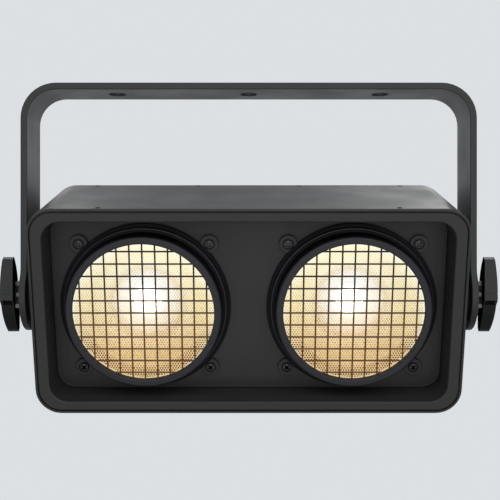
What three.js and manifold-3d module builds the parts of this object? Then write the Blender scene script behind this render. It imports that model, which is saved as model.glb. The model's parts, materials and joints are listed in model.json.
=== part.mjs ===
// Audience blinder light: two round lamps in a wide housing that tilts in a flat strip yoke.
// Lengths are millimetres. X runs to the right, Y to the back and Z up, and the light faces -Y.
// The origin is the middle of the yoke bar's top face, where the clamp bolt goes through.

import * as THREE from "three";
import { mergeVertices } from "three/addons/utils/BufferGeometryUtils.js";
import Module from "manifold-3d";

const wasm = await Module();
wasm.setup();

// Clearances

const seatGap = 0.3; // between two faces that seat on each other
const overrun = 1; // how far a cutter passes the face that it opens

// Facets

const quarter = Math.PI / 2;
const cornerSteps = 4;
const bendSteps = 6;
const plateSteps = 3;
const windowSteps = 2;
const bevelSteps = 2;
const chamferSteps = 1;
const largeSteps = 32;
const guardSteps = 24;
const middleSteps = 16;
const smallSteps = 10;
const pinSteps = 6;
const rodSteps = 8;

// Driving sizes

const yoke = {
  strap: 50,
  thick: 6,
  sideGap: 7.5, // between a leg and the side of the housing
  drop: 186.6, // bar's top face to the tilt axis
  bend: 31,
  endSwell: 7, // round ends are wider than the strap by this on each edge
  neckRadius: 16,
  boltHole: 15,
  boltPitch: 118.5,
  boltCount: 3,
};

const restTiltDegrees = 14.6; // the light points this far down at rest

const housing = {
  corner: 22,
  wall: 2.4,
  edge: 1.2,
  face: 47, // bezel face ahead of the tilt axis
  rear: 74, // rear edge behind the tilt axis
  below: 3.9, // middle of the housing under the tilt axis
};

const bezel = {
  shadowGap: 0.8, // dark line between bezel and housing rim
  proud: 0.4,
  thick: 3,
  skirt: 14,
  skirtWall: 2.5,
  sideBorder: 12.8, // from the opening to the side of the housing
  topBorder: 11.25,
  sideMargin: 6.8, // from a lamp's flange to the side of the opening
  topMargin: 4.75, // the same upwards, for a lamp at the middle
  openCorner: 16,
  recess: 33.2,
  wall: 2.2,
};

const panelThick = 3;

const lamp = {
  gap: 31.8, // between the two flanges
  below: 2.4, // lamp centres under the middle of the housing
  ledDepth: 41, // light source behind the front of the ring
};

const ring = {
  aperture: 61.4,
  wall: 6.6,
  stepOut: 4,
  flangeOut: 3.5,
  reach: 23.6,
  stepReach: 7,
  flangeThick: 3,
  edge: 2,
  lip: 3.5,
  lipWidth: 3.6,
  earOut: 5.1, // screw centres lie this far outside the flange
  ear: 8,
  counterbore: 4.75,
  counterDepth: 1.7,
};

const guard = {
  pitch: 11,
  wire: 1.2,
  thick: 2,
  ringWall: 2.5,
  clear: 3, // least space between its ring's middle and the last wire
  slack: 0.6, // between its ring and the seat round it
};

const seal = { thick: 1.5, wall: 3.6 };
const glass = { thick: 3 };

const can = {
  wall: 3,
  floor: 3,
  flangeThick: 4,
  bossLength: 8,
  bossFloor: 1,
};

const reflector = { wall: 1.2, throat: 15, rings: 3, bowShare: 0.55 };

const led = {
  board: 28,
  boardThick: 1.6,
  emitter: 11,
  emitterThick: 0.8,
};

const holder = { outer: 21, inner: 12.5, thick: 1.6 };

const sink = {
  height: 126,
  plateGap: 3.4, // between its fins and the control plate
  base: 8,
  fins: 11,
  finThick: 2.2,
  stand: 22, // fins stand out of the rear panel by this
  windowGap: 1.2,
};

const lampScrew = {
  shank: 2,
  head: 3.8,
  headHeight: 2.4,
  crown: 1.1,
  length: 11.5,
  slot: 1.1,
  slotDepth: 1.2,
};

const rearPanel = { thick: 2, skirt: 12, skirtWall: 2, windowCorner: 3 };

const control = {
  thick: 2,
  corner: 5,
  fromTop: 30.5, // edge of the plate under the top of the housing
  fromBottom: 14.5,
  headMargin: 9.5, // over the display
  footMargin: 3.5, // under the sockets
  sideMargin: 6,
  border: 6, // plate laps the rear panel by this
};

const display = { width: 46, height: 14, windowThick: 1.5, gap: 8.9, module: 6, moduleBorder: 2.5 };

const button = {
  count: 4,
  pitch: 14,
  radius: 3.4,
  collar: 4.6,
  collarThick: 1.1,
  proud: 1.8,
  travel: 0.8,
  slack: 0.4,
  switchSide: 6,
  switchHeight: 4,
};

const board = { thick: 1.6, lapAbove: 8.5, lapBelow: 10 };

const socket = {
  columnGap: 6,
  rowGap: 5,
  flangeWidth: 26,
  flangeHeight: 31,
  flangeThick: 2,
  flangeCorner: 3,
  body: 11.8,
  depth: 22,
  bore: 9.6,
  boreDepth: 12,
  powerBore: 10.4,
  powerCore: 6.2,
  powerCoreLength: 5,
};

const pins = {
  count: 5,
  circle: 5.2,
  radius: 1,
  length: 8.5,
  insert: 3,
  faceDepth: 1,
  hole: 1.3,
  sweepShare: 0.75, // of a whole turn
};

const latch = { width: 9, height: 3.4, length: 9, proud: 1.6, fromTop: 1.4 };

const eye = {
  baseWidth: 36,
  baseHeight: 12,
  baseThick: 2,
  fromTop: 17.5,
  rod: 2.5,
  loopRadius: 10.5,
  straight: 8,
};

const supply = { sideGap: 4.4, frontGap: 3, rearGap: 7.3, height: 122, corner: 3 };

const pivot = {
  stud: 5,
  slack: 0.5,
  bossFlange: 20,
  bossFlangeThick: 4.5,
  bossNeck: 14,
  disc: 24,
  discThick: 3,
  washer: 12.6,
  washerThick: 2,
  tabLength: 7.2,
  tabThick: 3.1,
  tabWidth: 9,
  studInside: 8, // stud reaches this far past the housing wall
};

const knob = {
  straightOff: 12.1, // a wing's straight side, from the stud's middle
  straightPast: 5, // that side runs on this far past the middle
  reach: 33.8,
  tipWidth: 4.6,
  tipCorner: 2.4,
  bowOff: 6.5, // foot of a wing's bowed side, from the stud's middle
  bowFoot: 9.5,
  bow: 2.1,
  bowSteps: 4,
  thick: 9.5,
  crown: 2.8,
  crownRings: 3,
  studCover: 4,
};

// Finishes

const finishes = {
  blackPaint: { color: 0x2b2c2e, roughness: 0.55, metalness: 0.2 },
  blackPlastic: { color: 0x1b1c1e, roughness: 0.5, metalness: 0 },
  blackRubber: { color: 0x141415, roughness: 0.85, metalness: 0 },
  darkCast: { color: 0x34343b, roughness: 0.45, metalness: 0.4 },
  blackWire: { color: 0x17171a, roughness: 0.5, metalness: 0.5 },
  steel: { color: 0xb9bbbd, roughness: 0.3, metalness: 1 },
  glassWarm: { color: 0xf6dfae, roughness: 0.2, metalness: 0 },
  mirror: { color: 0xe0c184, roughness: 0.25, metalness: 0.8 },
  ledWarm: { color: 0xfff6e0, roughness: 0.5, metalness: 0 },
  whitePlastic: { color: 0xe6e4dc, roughness: 0.5, metalness: 0 },
  blackAluminium: { color: 0x222325, roughness: 0.5, metalness: 0.6 },
  zinc: { color: 0x9a9ca0, roughness: 0.4, metalness: 0.9 },
  boardGreen: { color: 0x1f5138, roughness: 0.6, metalness: 0 },
  smokedWindow: { color: 0x0c1012, roughness: 0.15, metalness: 0 },
  powerBlue: { color: 0x2a5fa8, roughness: 0.5, metalness: 0 },
  powerGrey: { color: 0x8b8e92, roughness: 0.5, metalness: 0 },
};

// Outlines, as lists of points

function arc(centreX, centreY, radius, from, to, steps) {
  const points = [];
  for (let i = 0; i <= steps; i += 1) {
    const angle = from + ((to - from) * i) / steps;
    points.push(new THREE.Vector2(centreX + radius * Math.cos(angle), centreY + radius * Math.sin(angle)));
  }
  return points;
}

function roundedOutline(width, height, corner, steps = cornerSteps) {
  const x = width / 2 - corner;
  const y = height / 2 - corner;
  return [
    ...arc(x, y, corner, 0, quarter, steps),
    ...arc(-x, y, corner, quarter, 2 * quarter, steps),
    ...arc(-x, -y, corner, 2 * quarter, 3 * quarter, steps),
    ...arc(x, -y, corner, 3 * quarter, 4 * quarter, steps),
  ];
}

// Blocks, before they are joined or cut

function turnToAxis(geometry, axis) {
  if (axis === "y") {
    return geometry.rotateX(quarter);
  }
  if (axis === "x") {
    const along = new THREE.Matrix4().makeBasis(
      new THREE.Vector3(0, 1, 0),
      new THREE.Vector3(0, 0, 1),
      new THREE.Vector3(1, 0, 0),
    );
    return geometry.applyMatrix4(along);
  }
  return geometry;
}

// An outline pushed along an axis. It is drawn in XZ for y, in YZ for x and in XY for z.
function pushed(outline, from, to, axis) {
  const shape = new THREE.Shape(outline);
  const upright = new THREE.ExtrudeGeometry(shape, { depth: to - from, bevelEnabled: false });
  const geometry = turnToAxis(upright, axis);
  const start = axis === "y" ? to : from;
  return geometry.translate(axis === "x" ? start : 0, axis === "y" ? start : 0, axis === "z" ? start : 0);
}

// A slab across Y whose front edge is rounded over.
function roundedSlab(width, height, corner, front, back, edge) {
  const shape = new THREE.Shape(roundedOutline(width, height, corner));
  const depth = back - front;
  const slab = turnToAxis(
    new THREE.ExtrudeGeometry(shape, {
      depth,
      bevelThickness: edge,
      bevelSize: edge,
      bevelOffset: -edge,
      bevelSegments: bevelSteps,
    }),
    "y",
  );
  slab.translate(0, front + depth + edge, 0);
  const spareOutline = roundedOutline(width + overrun, height + overrun, corner);
  const spare = pushed(spareOutline, back, back + edge * 2 + overrun, "y");
  return cut(slab, [spare]);
}

// A profile of [radius, place] pairs turned round an axis.
function turned(profile, steps, axis = "y") {
  const points = profile.map(([radius, place]) => new THREE.Vector2(radius, place));
  const opensOnAxis = profile[0][0] === 0;
  if (!opensOnAxis) {
    points.push(points[0].clone());
  }
  const geometry = new THREE.LatheGeometry(points, steps);
  if (axis === "x") {
    geometry.rotateZ(-quarter);
  }
  if (axis === "z") {
    geometry.rotateX(quarter);
  }
  return geometry;
}

function rod(radius, from, to, steps, axis = "y") {
  return turned([[0, from], [radius, from], [radius, to], [0, to]], steps, axis);
}

function tube(outer, inner, from, to, steps, axis = "y") {
  return turned([[inner, from], [outer, from], [outer, to], [inner, to]], steps, axis);
}

function block(width, depth, height) {
  return new THREE.BoxGeometry(width, depth, height);
}

// Joining and cutting

function signedVolume(positions, triangles) {
  let volume = 0;
  const corner = (index) => new THREE.Vector3().fromArray(positions, index * 3);
  for (const [a, b, c] of triangles) {
    volume += corner(a).dot(corner(b).cross(corner(c)));
  }
  return volume;
}

// A closed geometry as a solid. Its faces are turned outwards whichever way it was drawn.
function solid(part) {
  if (part instanceof wasm.Manifold) {
    return part;
  }
  const bare = part.clone();
  bare.deleteAttribute("normal");
  bare.deleteAttribute("uv");
  const merged = mergeVertices(bare);
  const positions = merged.attributes.position.array;
  const index = merged.index.array;
  const triangles = [];
  for (let i = 0; i < index.length; i += 3) {
    const [a, b, c] = [index[i], index[i + 1], index[i + 2]];
    if (a !== b && b !== c && c !== a) {
      triangles.push([a, b, c]);
    }
  }
  const facesOut = signedVolume(positions, triangles) > 0;
  const ordered = triangles.map(([a, b, c]) => (facesOut ? [a, b, c] : [a, c, b]));
  return new wasm.Manifold(
    new wasm.Mesh({
      numProp: 3,
      vertProperties: new Float32Array(positions),
      triVerts: new Uint32Array(ordered.flat()),
    }),
  );
}

function join(parts) {
  return parts.map(solid).reduce((whole, part) => whole.add(part));
}

function cut(base, tools) {
  return tools.map(solid).reduce((rest, tool) => rest.subtract(tool), solid(base));
}

function meet(first, second) {
  return solid(first).intersect(solid(second));
}

function geometryOf(part) {
  const mesh = solid(part).getMesh();
  const geometry = new THREE.BufferGeometry();
  geometry.setAttribute("position", new THREE.BufferAttribute(new Float32Array(mesh.vertProperties), 3));
  geometry.setIndex(new THREE.BufferAttribute(new Uint32Array(mesh.triVerts), 1));
  geometry.computeVertexNormals();
  return geometry;
}

function addPiece(group, name, part, finish) {
  const mesh = new THREE.Mesh(geometryOf(part), new THREE.MeshStandardMaterial(finish));
  mesh.name = name;
  group.add(mesh);
  return mesh;
}

// Sizes across, from the lamps out to the yoke

const ringRim = ring.aperture + ring.wall;
const ringStep = ringRim + ring.stepOut;
const ringFlange = ringStep + ring.flangeOut;
const ringSeat = ring.aperture + ring.lipWidth;
const earReach = (ringFlange + ring.earOut) * Math.SQRT1_2;
const earPlaces = [-1, 1].flatMap((x) => [-1, 1].map((z) => [x * earReach, z * earReach]));
const lampPitch = ringFlange * 2 + lamp.gap;
const openWidth = lampPitch + (ringFlange + bezel.sideMargin) * 2;
const openHeight = (ringFlange + bezel.topMargin) * 2;
const housingWidth = openWidth + bezel.sideBorder * 2;
const housingHeight = openHeight + bezel.topBorder * 2;
const yokeInner = housingWidth / 2 + yoke.sideGap;
const yokeOuter = yokeInner + yoke.thick;
const endRadius = yoke.strap / 2 + yoke.endSwell;
const socketPitch = socket.flangeWidth + socket.columnGap;
const plateWidth = socketPitch + socket.flangeWidth + control.sideMargin * 2;
const sinkWidth = lampPitch - plateWidth - sink.plateGap * 2;

// Places up and down on the control plate, from its two edges inwards

const plateTop = housingHeight / 2 - control.fromTop;
const displayZ = plateTop - control.headMargin - display.height / 2;
const buttonZ = displayZ - display.height / 2 - display.gap - button.collar;
const plateBottom = control.fromBottom - housingHeight / 2;
const powerZ = plateBottom + control.footMargin + socket.flangeHeight / 2;
const dataZ = powerZ + socket.flangeHeight + socket.rowGap;

// Places along Y in the housing, from front to back

const bezelFront = -housing.face;
const sleeveFront = bezelFront + bezel.proud;
const panelFront = bezelFront + bezel.recess;
const panelBack = panelFront + panelThick;
const ringFront = panelFront - ring.reach;
const ringBack = panelFront - seatGap;
const flangeFront = ringBack - ring.flangeThick;
const guardFront = ringFront + ring.lip + seatGap;
const sealFront = guardFront + guard.thick + seatGap;
const glassFront = sealFront + seal.thick + seatGap;
const canFront = glassFront + glass.thick + seatGap;
const ledFront = ringFront + lamp.ledDepth;
const boardFront = ledFront + led.emitterThick;
const canBack = boardFront + led.boardThick;
const holderBack = boardFront - seatGap;
const holderFront = holderBack - holder.thick;
const sinkFront = canBack + seatGap;
const sinkBack = housing.rear + sink.stand;
const rearFront = housing.rear - rearPanel.thick;
const plateFront = housing.rear + seatGap;
const plateBack = plateFront + control.thick;
const flangeSeat = plateBack + seatGap;
const flangeTop = flangeSeat + socket.flangeThick;

// Shared by ring, can and panel
const canRadius = ringSeat - seatGap;
const shankBore = lampScrew.shank + seatGap;

// Yoke

// Side view of a leg: the flat strip widens into a round end at the tilt axis.
function legSide() {
  const half = yoke.strap / 2;
  const reach = half + yoke.neckRadius;
  const neckRise = Math.sqrt((endRadius + yoke.neckRadius) ** 2 - reach ** 2);
  const touch = Math.atan2(neckRise, reach);
  const neckZ = neckRise - yoke.drop;
  return [
    new THREE.Vector2(-half, overrun),
    new THREE.Vector2(half, overrun),
    ...arc(reach, neckZ, yoke.neckRadius, 2 * quarter, 2 * quarter + touch, cornerSteps),
    ...arc(0, -yoke.drop, endRadius, touch, -2 * quarter - touch, largeSteps / 2).slice(1, -1),
    ...arc(-reach, neckZ, yoke.neckRadius, -touch, 0, cornerSteps),
  ];
}

// Front view of the bent strip: an arch open at the bottom.
function archFront() {
  const foot = -yoke.drop - endRadius - overrun;
  const innerBend = yoke.bend - yoke.thick;
  const bendX = yokeOuter - yoke.bend;
  return [
    new THREE.Vector2(yokeOuter, foot),
    ...arc(bendX, -yoke.bend, yoke.bend, 0, quarter, bendSteps),
    ...arc(-bendX, -yoke.bend, yoke.bend, quarter, 2 * quarter, bendSteps),
    new THREE.Vector2(-yokeOuter, foot),
    new THREE.Vector2(-yokeInner, foot),
    ...arc(-bendX, -yoke.bend, innerBend, 2 * quarter, quarter, bendSteps),
    ...arc(bendX, -yoke.bend, innerBend, quarter, 0, bendSteps),
    new THREE.Vector2(yokeInner, foot),
  ];
}

function makeYoke() {
  const reach = yokeOuter + overrun;
  const arch = pushed(archFront(), -endRadius - overrun, endRadius + overrun, "y");
  const sides = pushed(legSide(), -reach, reach, "x");
  const holes = [];
  for (let i = 0; i < yoke.boltCount; i += 1) {
    const place = (i - (yoke.boltCount - 1) / 2) * yoke.boltPitch;
    const hole = rod(yoke.boltHole / 2, -yoke.thick - overrun, overrun, middleSteps, "z");
    holes.push(hole.translate(place, 0, 0));
  }
  const studHole = rod(pivot.stud + pivot.slack, -reach, reach, middleSteps, "x").translate(0, 0, -yoke.drop);
  return cut(meet(arch, sides), [...holes, studHole]);
}

// Housing shell, bezel and panels

function makeSleeve() {
  const { corner, wall, edge, rear, below } = housing;
  const shell = roundedSlab(housingWidth, housingHeight, corner, sleeveFront, rear, edge);
  const inside = roundedOutline(housingWidth - wall * 2, housingHeight - wall * 2, corner - wall);
  const bore = pushed(inside, sleeveFront - overrun, rear + overrun, "y");
  const half = housingWidth / 2 + overrun;
  const neckHole = rod(pivot.bossNeck + seatGap, -half, half, middleSteps, "x").translate(0, 0, below);
  return cut(shell, [bore, neckHole]);
}

function makeFrontFrame() {
  const { wall, corner } = housing;
  const inset = wall + bezel.shadowGap;
  const faceBack = bezelFront + bezel.thick;
  const skirtBack = faceBack + bezel.skirt;
  const face = roundedOutline(housingWidth - inset * 2, housingHeight - inset * 2, corner - inset);
  const skirtInset = wall + seatGap;
  const skirtCorner = corner - skirtInset;
  const skirtWidth = housingWidth - skirtInset * 2;
  const skirtHeight = housingHeight - skirtInset * 2;
  const skirt = roundedOutline(skirtWidth, skirtHeight, skirtCorner);
  const { skirtWall, openCorner } = bezel;
  const skirtHollow = roundedOutline(
    skirtWidth - skirtWall * 2,
    skirtHeight - skirtWall * 2,
    skirtCorner - skirtWall,
  );
  const lining = roundedOutline(
    openWidth + bezel.wall * 2,
    openHeight + bezel.wall * 2,
    openCorner + bezel.wall,
  );
  const liningBack = panelFront - seatGap;
  const rim = cut(pushed(skirt, faceBack, skirtBack, "y"), [
    pushed(skirtHollow, faceBack + bezel.wall, skirtBack + overrun, "y"),
  ]);
  const opening = roundedOutline(openWidth, openHeight, openCorner);
  const frame = join([
    pushed(face, bezelFront, faceBack, "y"),
    rim,
    pushed(lining, faceBack, liningBack, "y"),
  ]);
  return cut(frame, [pushed(opening, bezelFront - overrun, liningBack + overrun, "y")]);
}

function makeFrontPanel() {
  const { openCorner, wall } = bezel;
  const outline = roundedOutline(openWidth + wall * 2, openHeight + wall * 2, openCorner + wall);
  const holes = [];
  for (const side of [-1, 1]) {
    const x = (side * lampPitch) / 2;
    const seat = rod(ringSeat, panelFront - overrun, panelBack + overrun, largeSteps);
    holes.push(seat.translate(x, 0, -lamp.below));
    for (const [earX, earZ] of earPlaces) {
      const bore = rod(shankBore, panelFront - overrun, panelBack + overrun, smallSteps);
      holes.push(bore.translate(x + earX, 0, earZ - lamp.below));
    }
  }
  return cut(pushed(outline, panelFront, panelBack, "y"), holes);
}

function makeRearPanel() {
  const inset = housing.wall + seatGap;
  const width = housingWidth - inset * 2;
  const height = housingHeight - inset * 2;
  const corner = housing.corner - inset;
  const { skirt, skirtWall, windowCorner } = rearPanel;
  const tray = pushed(roundedOutline(width, height, corner), rearFront - skirt, housing.rear, "y");
  const hollow = roundedOutline(width - skirtWall * 2, height - skirtWall * 2, corner - skirtWall);
  const tools = [pushed(hollow, rearFront - skirt - overrun, rearFront, "y")];
  const windowFrom = rearFront - overrun;
  const windowTo = housing.rear + overrun;
  const sinkWindow = roundedOutline(
    sinkWidth + sink.windowGap * 2,
    sink.height + sink.windowGap * 2,
    windowCorner,
    windowSteps,
  );
  for (const side of [-1, 1]) {
    const tool = pushed(sinkWindow, windowFrom, windowTo, "y");
    tools.push(tool.translate((side * lampPitch) / 2, 0, -lamp.below));
  }
  const plateWindow = roundedOutline(
    plateWidth - control.border * 2,
    plateTop - plateBottom - control.border * 2,
    windowCorner,
    windowSteps,
  );
  tools.push(pushed(plateWindow, windowFrom, windowTo, "y").translate(0, 0, (plateTop + plateBottom) / 2));
  return cut(tray, tools);
}

// Lamp, drawn about its own axis

function makeTrimRing() {
  const { aperture, edge, lip, ear, stepReach } = ring;
  const stepFront = panelFront - stepReach;
  const body = turned(
    [
      [aperture, ringFront + edge / 2],
      [aperture + edge / 2, ringFront],
      [ringRim - edge, ringFront],
      [ringRim, ringFront + edge],
      [ringRim, stepFront],
      [ringStep, stepFront],
      [ringStep, flangeFront],
      [ringFlange, flangeFront],
      [ringFlange, ringBack],
      [ringSeat, ringBack],
      [ringSeat, ringFront + lip],
      [aperture, ringFront + lip],
    ],
    largeSteps,
  );
  const ears = [];
  const tools = [];
  const cutFront = flangeFront - overrun;
  const cutBack = ringBack + overrun;
  const keepOut = rod(ringSeat, cutFront, cutBack, largeSteps);
  for (const [x, z] of earPlaces) {
    const counterbore = rod(ring.counterbore, cutFront, flangeFront + ring.counterDepth, smallSteps);
    const bore = rod(shankBore, cutFront, cutBack, smallSteps);
    ears.push(rod(ear, flangeFront, ringBack, middleSteps).translate(x, 0, z));
    tools.push(counterbore.translate(x, 0, z), bore.translate(x, 0, z));
  }
  return cut(join([body, ...ears]), [keepOut, ...tools]);
}

// A welded net of straight wires in a ring. One wire each way runs through the lamp's centre.
function makeWireGuard() {
  const outer = ringSeat - guard.slack;
  const inner = outer - guard.ringWall;
  const anchor = (outer + inner) / 2;
  const middle = guardFront + guard.thick / 2;
  const parts = [tube(outer, inner, guardFront, guardFront + guard.thick, guardSteps)];
  const wiresEachSide = Math.floor((anchor - guard.clear) / guard.pitch);
  for (let i = -wiresEachSide; i <= wiresEachSide; i += 1) {
    const offset = i * guard.pitch;
    const length = 2 * Math.sqrt(anchor ** 2 - offset ** 2);
    parts.push(block(length, guard.wire, guard.wire).translate(0, middle, offset));
    parts.push(block(guard.wire, guard.wire, length).translate(offset, middle, 0));
  }
  return join(parts);
}

function makeLensSeal() {
  const outer = ringSeat - seatGap;
  return tube(outer, outer - seal.wall, sealFront, sealFront + seal.thick, middleSteps);
}

function makeLensGlass() {
  return rod(ringSeat - seatGap, glassFront, glassFront + glass.thick, largeSteps);
}

function makeLampCan() {
  const flangeBack = panelBack + seatGap + can.flangeThick;
  const inner = canRadius - can.wall;
  const throat = holder.outer + seatGap;
  const body = turned(
    [
      [inner, canFront],
      [canRadius, canFront],
      [canRadius, panelBack + seatGap],
      [ringFlange, panelBack + seatGap],
      [ringFlange, flangeBack],
      [canRadius, flangeBack],
      [canRadius, canBack],
      [throat, canBack],
      [throat, canBack - can.floor],
      [inner, canBack - can.floor],
    ],
    middleSteps,
  );
  const bosses = [];
  const bores = [];
  const bossFront = panelBack + seatGap;
  const bossBack = bossFront + can.bossLength;
  for (const [x, z] of earPlaces) {
    const bore = rod(shankBore, bossFront - overrun, bossBack - can.bossFloor, smallSteps);
    bosses.push(rod(ring.ear, bossFront, bossBack, smallSteps).translate(x, 0, z));
    bores.push(bore.translate(x, 0, z));
  }
  return cut(join([body, ...bosses]), bores);
}

// A spun bowl that narrows from the glass to the light source along a bowed profile.
function makeReflector() {
  const front = canFront;
  const back = holderFront - seatGap;
  const rim = canRadius - can.wall - seatGap - reflector.wall;
  const wallAt = (extra) => {
    const points = [];
    for (let i = 0; i <= reflector.rings; i += 1) {
      const share = i / reflector.rings;
      const radius = reflector.throat + (rim - reflector.throat) * share ** reflector.bowShare;
      points.push([radius + extra, back + (front - back) * share]);
    }
    return points;
  };
  return turned([...wallAt(0), ...wallAt(reflector.wall).reverse()], middleSteps);
}

function makeLedHolder() {
  return tube(holder.outer, holder.inner, holderFront, holderBack, middleSteps);
}

function makeLed() {
  const middle = boardFront + led.boardThick / 2;
  const plate = block(led.board, led.boardThick, led.board).translate(0, middle, 0);
  return join([plate, rod(led.emitter, ledFront, boardFront + led.boardThick / 2, middleSteps)]);
}

// One extrusion: a base with upright fins, all running along Z.
function makeHeatSink() {
  const finPitch = (sinkWidth - sink.finThick) / (sink.fins - 1);
  const baseBack = sinkFront + sink.base;
  const half = sinkWidth / 2;
  const outline = [new THREE.Vector2(half, sinkFront)];
  for (let i = sink.fins - 1; i >= 0; i -= 1) {
    const left = i * finPitch - half;
    const right = left + sink.finThick;
    if (i < sink.fins - 1) {
      outline.push(new THREE.Vector2(right, baseBack));
    }
    outline.push(new THREE.Vector2(right, sinkBack), new THREE.Vector2(left, sinkBack));
    if (i > 0) {
      outline.push(new THREE.Vector2(left, baseBack));
    }
  }
  outline.push(new THREE.Vector2(-half, sinkFront));
  return pushed(outline, -sink.height / 2, sink.height / 2, "z");
}

// A pan head with a cross recess on a plain shank, its axis along Y.
function makeLampScrew() {
  const { shank, head, headHeight, crown, length, slot, slotDepth } = lampScrew;
  const underHead = flangeFront + ring.counterDepth - seatGap;
  const headFront = underHead - headHeight;
  const body = turned(
    [
      [0, headFront],
      [head - crown, headFront],
      [head, headFront + crown],
      [head, underHead],
      [shank, underHead],
      [shank, underHead + length],
      [0, underHead + length],
    ],
    smallSteps,
  );
  const reach = (head - crown) * 2;
  const middle = headFront + slotDepth / 2 - overrun / 2;
  const bars = [quarter / 2, -quarter / 2].map((angle) =>
    block(reach, slotDepth + overrun, slot).rotateY(angle).translate(0, middle, 0),
  );
  return cut(body, [join(bars)]);
}

// Rear controls and sockets

function socketColumn(side) {
  return (side * socketPitch) / 2;
}

function makeControlPlate() {
  const from = plateFront - overrun;
  const to = plateBack + overrun;
  const centre = (plateTop + plateBottom) / 2;
  const outline = roundedOutline(plateWidth, plateTop - plateBottom, control.corner, plateSteps);
  const windowWidth = display.width + seatGap * 2;
  const windowHeight = display.height + seatGap * 2;
  const window = roundedOutline(windowWidth, windowHeight, seatGap * 2, chamferSteps);
  const tools = [pushed(window, from, to, "y").translate(0, 0, displayZ)];
  for (let i = 0; i < button.count; i += 1) {
    const hole = rod(button.radius + button.slack, from, to, smallSteps);
    tools.push(hole.translate(buttonX(i), 0, buttonZ));
  }
  for (const side of [-1, 1]) {
    for (const z of [dataZ, powerZ]) {
      const hole = rod(socket.body + seatGap, from, to, middleSteps);
      tools.push(hole.translate(socketColumn(side), 0, z));
    }
  }
  tools.push(latchWindow(from, to).translate(socketColumn(1), 0, dataZ));
  return cut(pushed(outline, plateFront, plateBack, "y").translate(0, 0, centre), tools);
}

function buttonX(i) {
  return (i - (button.count - 1) / 2) * button.pitch;
}

function makeDisplayWindow() {
  const back = plateBack - seatGap;
  const outline = roundedOutline(display.width, display.height, seatGap, chamferSteps);
  return pushed(outline, back - display.windowThick, back, "y").translate(0, 0, displayZ);
}

const moduleBack = plateFront - seatGap;
const moduleFront = moduleBack - display.module;
const boardBack = moduleFront - seatGap;

function makeDisplayModule() {
  const width = display.width + display.moduleBorder * 2;
  const height = display.height + display.moduleBorder * 2;
  const centre = (moduleFront + moduleBack) / 2;
  return block(width, display.module, height).translate(0, centre, displayZ);
}

// The board lies behind the display and carries one switch under each button.
function makeControlBoard() {
  const top = displayZ + display.height / 2 + board.lapAbove;
  const bottom = buttonZ - board.lapBelow;
  const sheet = block(plateWidth - control.border * 2, board.thick, top - bottom);
  const parts = [sheet.translate(0, boardBack - board.thick / 2, (top + bottom) / 2)];
  for (let i = 0; i < button.count; i += 1) {
    const box = block(button.switchSide, button.switchHeight, button.switchSide);
    parts.push(box.translate(buttonX(i), boardBack + button.switchHeight / 2, buttonZ));
  }
  return join(parts);
}

function makeMenuButton() {
  const collarFront = boardBack + button.switchHeight + seatGap + button.travel;
  const collarBack = collarFront + button.collarThick;
  const top = plateBack + button.proud;
  return turned(
    [
      [0, collarFront],
      [button.collar, collarFront],
      [button.collar, collarBack],
      [button.radius, collarBack],
      [button.radius, top - seatGap],
      [button.radius - seatGap, top],
      [0, top],
    ],
    smallSteps,
  );
}

function socketShell(bore) {
  const { flangeWidth, flangeHeight, flangeCorner, body, depth, boreDepth } = socket;
  const outline = roundedOutline(flangeWidth, flangeHeight, flangeCorner, plateSteps);
  const flange = pushed(outline, flangeSeat, flangeTop, "y");
  const barrel = rod(body, flangeTop - depth, flangeSeat + socket.flangeThick / 2, middleSteps);
  return cut(join([flange, barrel]), [rod(bore, flangeTop - boreDepth, flangeTop + overrun, middleSteps)]);
}

// The latch lies in the top edge of its socket's flange.
const latchAbove = socket.flangeHeight / 2 - latch.fromTop - latch.height / 2;

function latchWindow(from, to) {
  const width = latch.width + seatGap * 2;
  const height = latch.height + seatGap * 2;
  const outline = roundedOutline(width, height, seatGap, chamferSteps);
  return pushed(outline, from, to, "y").translate(0, 0, latchAbove);
}

function makeDataOut() {
  const window = latchWindow(flangeTop - socket.depth - overrun, flangeTop + overrun);
  return cut(socketShell(socket.bore), [window]);
}

function pinPlace(i) {
  const sweep = 4 * quarter * pins.sweepShare;
  const angle = quarter - sweep / 2 + (sweep * i) / (pins.count - 1);
  return [pins.circle * Math.cos(angle), pins.circle * Math.sin(angle)];
}

function makeDataInInsert() {
  const floor = flangeTop - socket.boreDepth + seatGap;
  const face = floor + pins.insert;
  const parts = [rod(socket.bore - seatGap, floor, face, middleSteps)];
  for (let i = 0; i < pins.count; i += 1) {
    const [x, z] = pinPlace(i);
    const pin = rod(pins.radius, floor + pins.insert / 2, face + pins.length - pins.insert, pinSteps);
    parts.push(pin.translate(x, 0, z));
  }
  return join(parts);
}

function makeDataOutInsert() {
  const floor = flangeTop - socket.boreDepth + seatGap;
  const face = flangeTop - pins.faceDepth;
  const plug = rod(socket.bore - seatGap, floor, face, middleSteps);
  const holes = [];
  for (let i = 0; i < pins.count; i += 1) {
    const [x, z] = pinPlace(i);
    const hole = rod(pins.hole, face - pins.length, face + overrun, pinSteps);
    holes.push(hole.translate(x, 0, z));
  }
  return cut(plug, holes);
}

function makeLatch() {
  const back = flangeTop + latch.proud;
  const centre = back - latch.length / 2;
  return block(latch.width, latch.length, latch.height).translate(0, centre, latchAbove);
}

// The mains sockets have a wider bore with a short keyed core at its floor.
function makePowerSocket() {
  const floor = flangeTop - socket.boreDepth;
  const core = rod(socket.powerCore, floor - overrun, floor + socket.powerCoreLength, middleSteps);
  return join([socketShell(socket.powerBore), core]);
}

function makePowerSupply() {
  const floor = housing.wall + seatGap - housingHeight / 2;
  const front = sinkFront + supply.frontGap;
  const back = flangeTop - socket.depth - supply.rearGap;
  const width = lampPitch - sinkWidth - supply.sideGap * 2;
  const outline = roundedOutline(width, back - front, supply.corner, windowSteps);
  return pushed(outline, floor, floor + supply.height, "z").translate(0, (front + back) / 2, 0);
}

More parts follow.
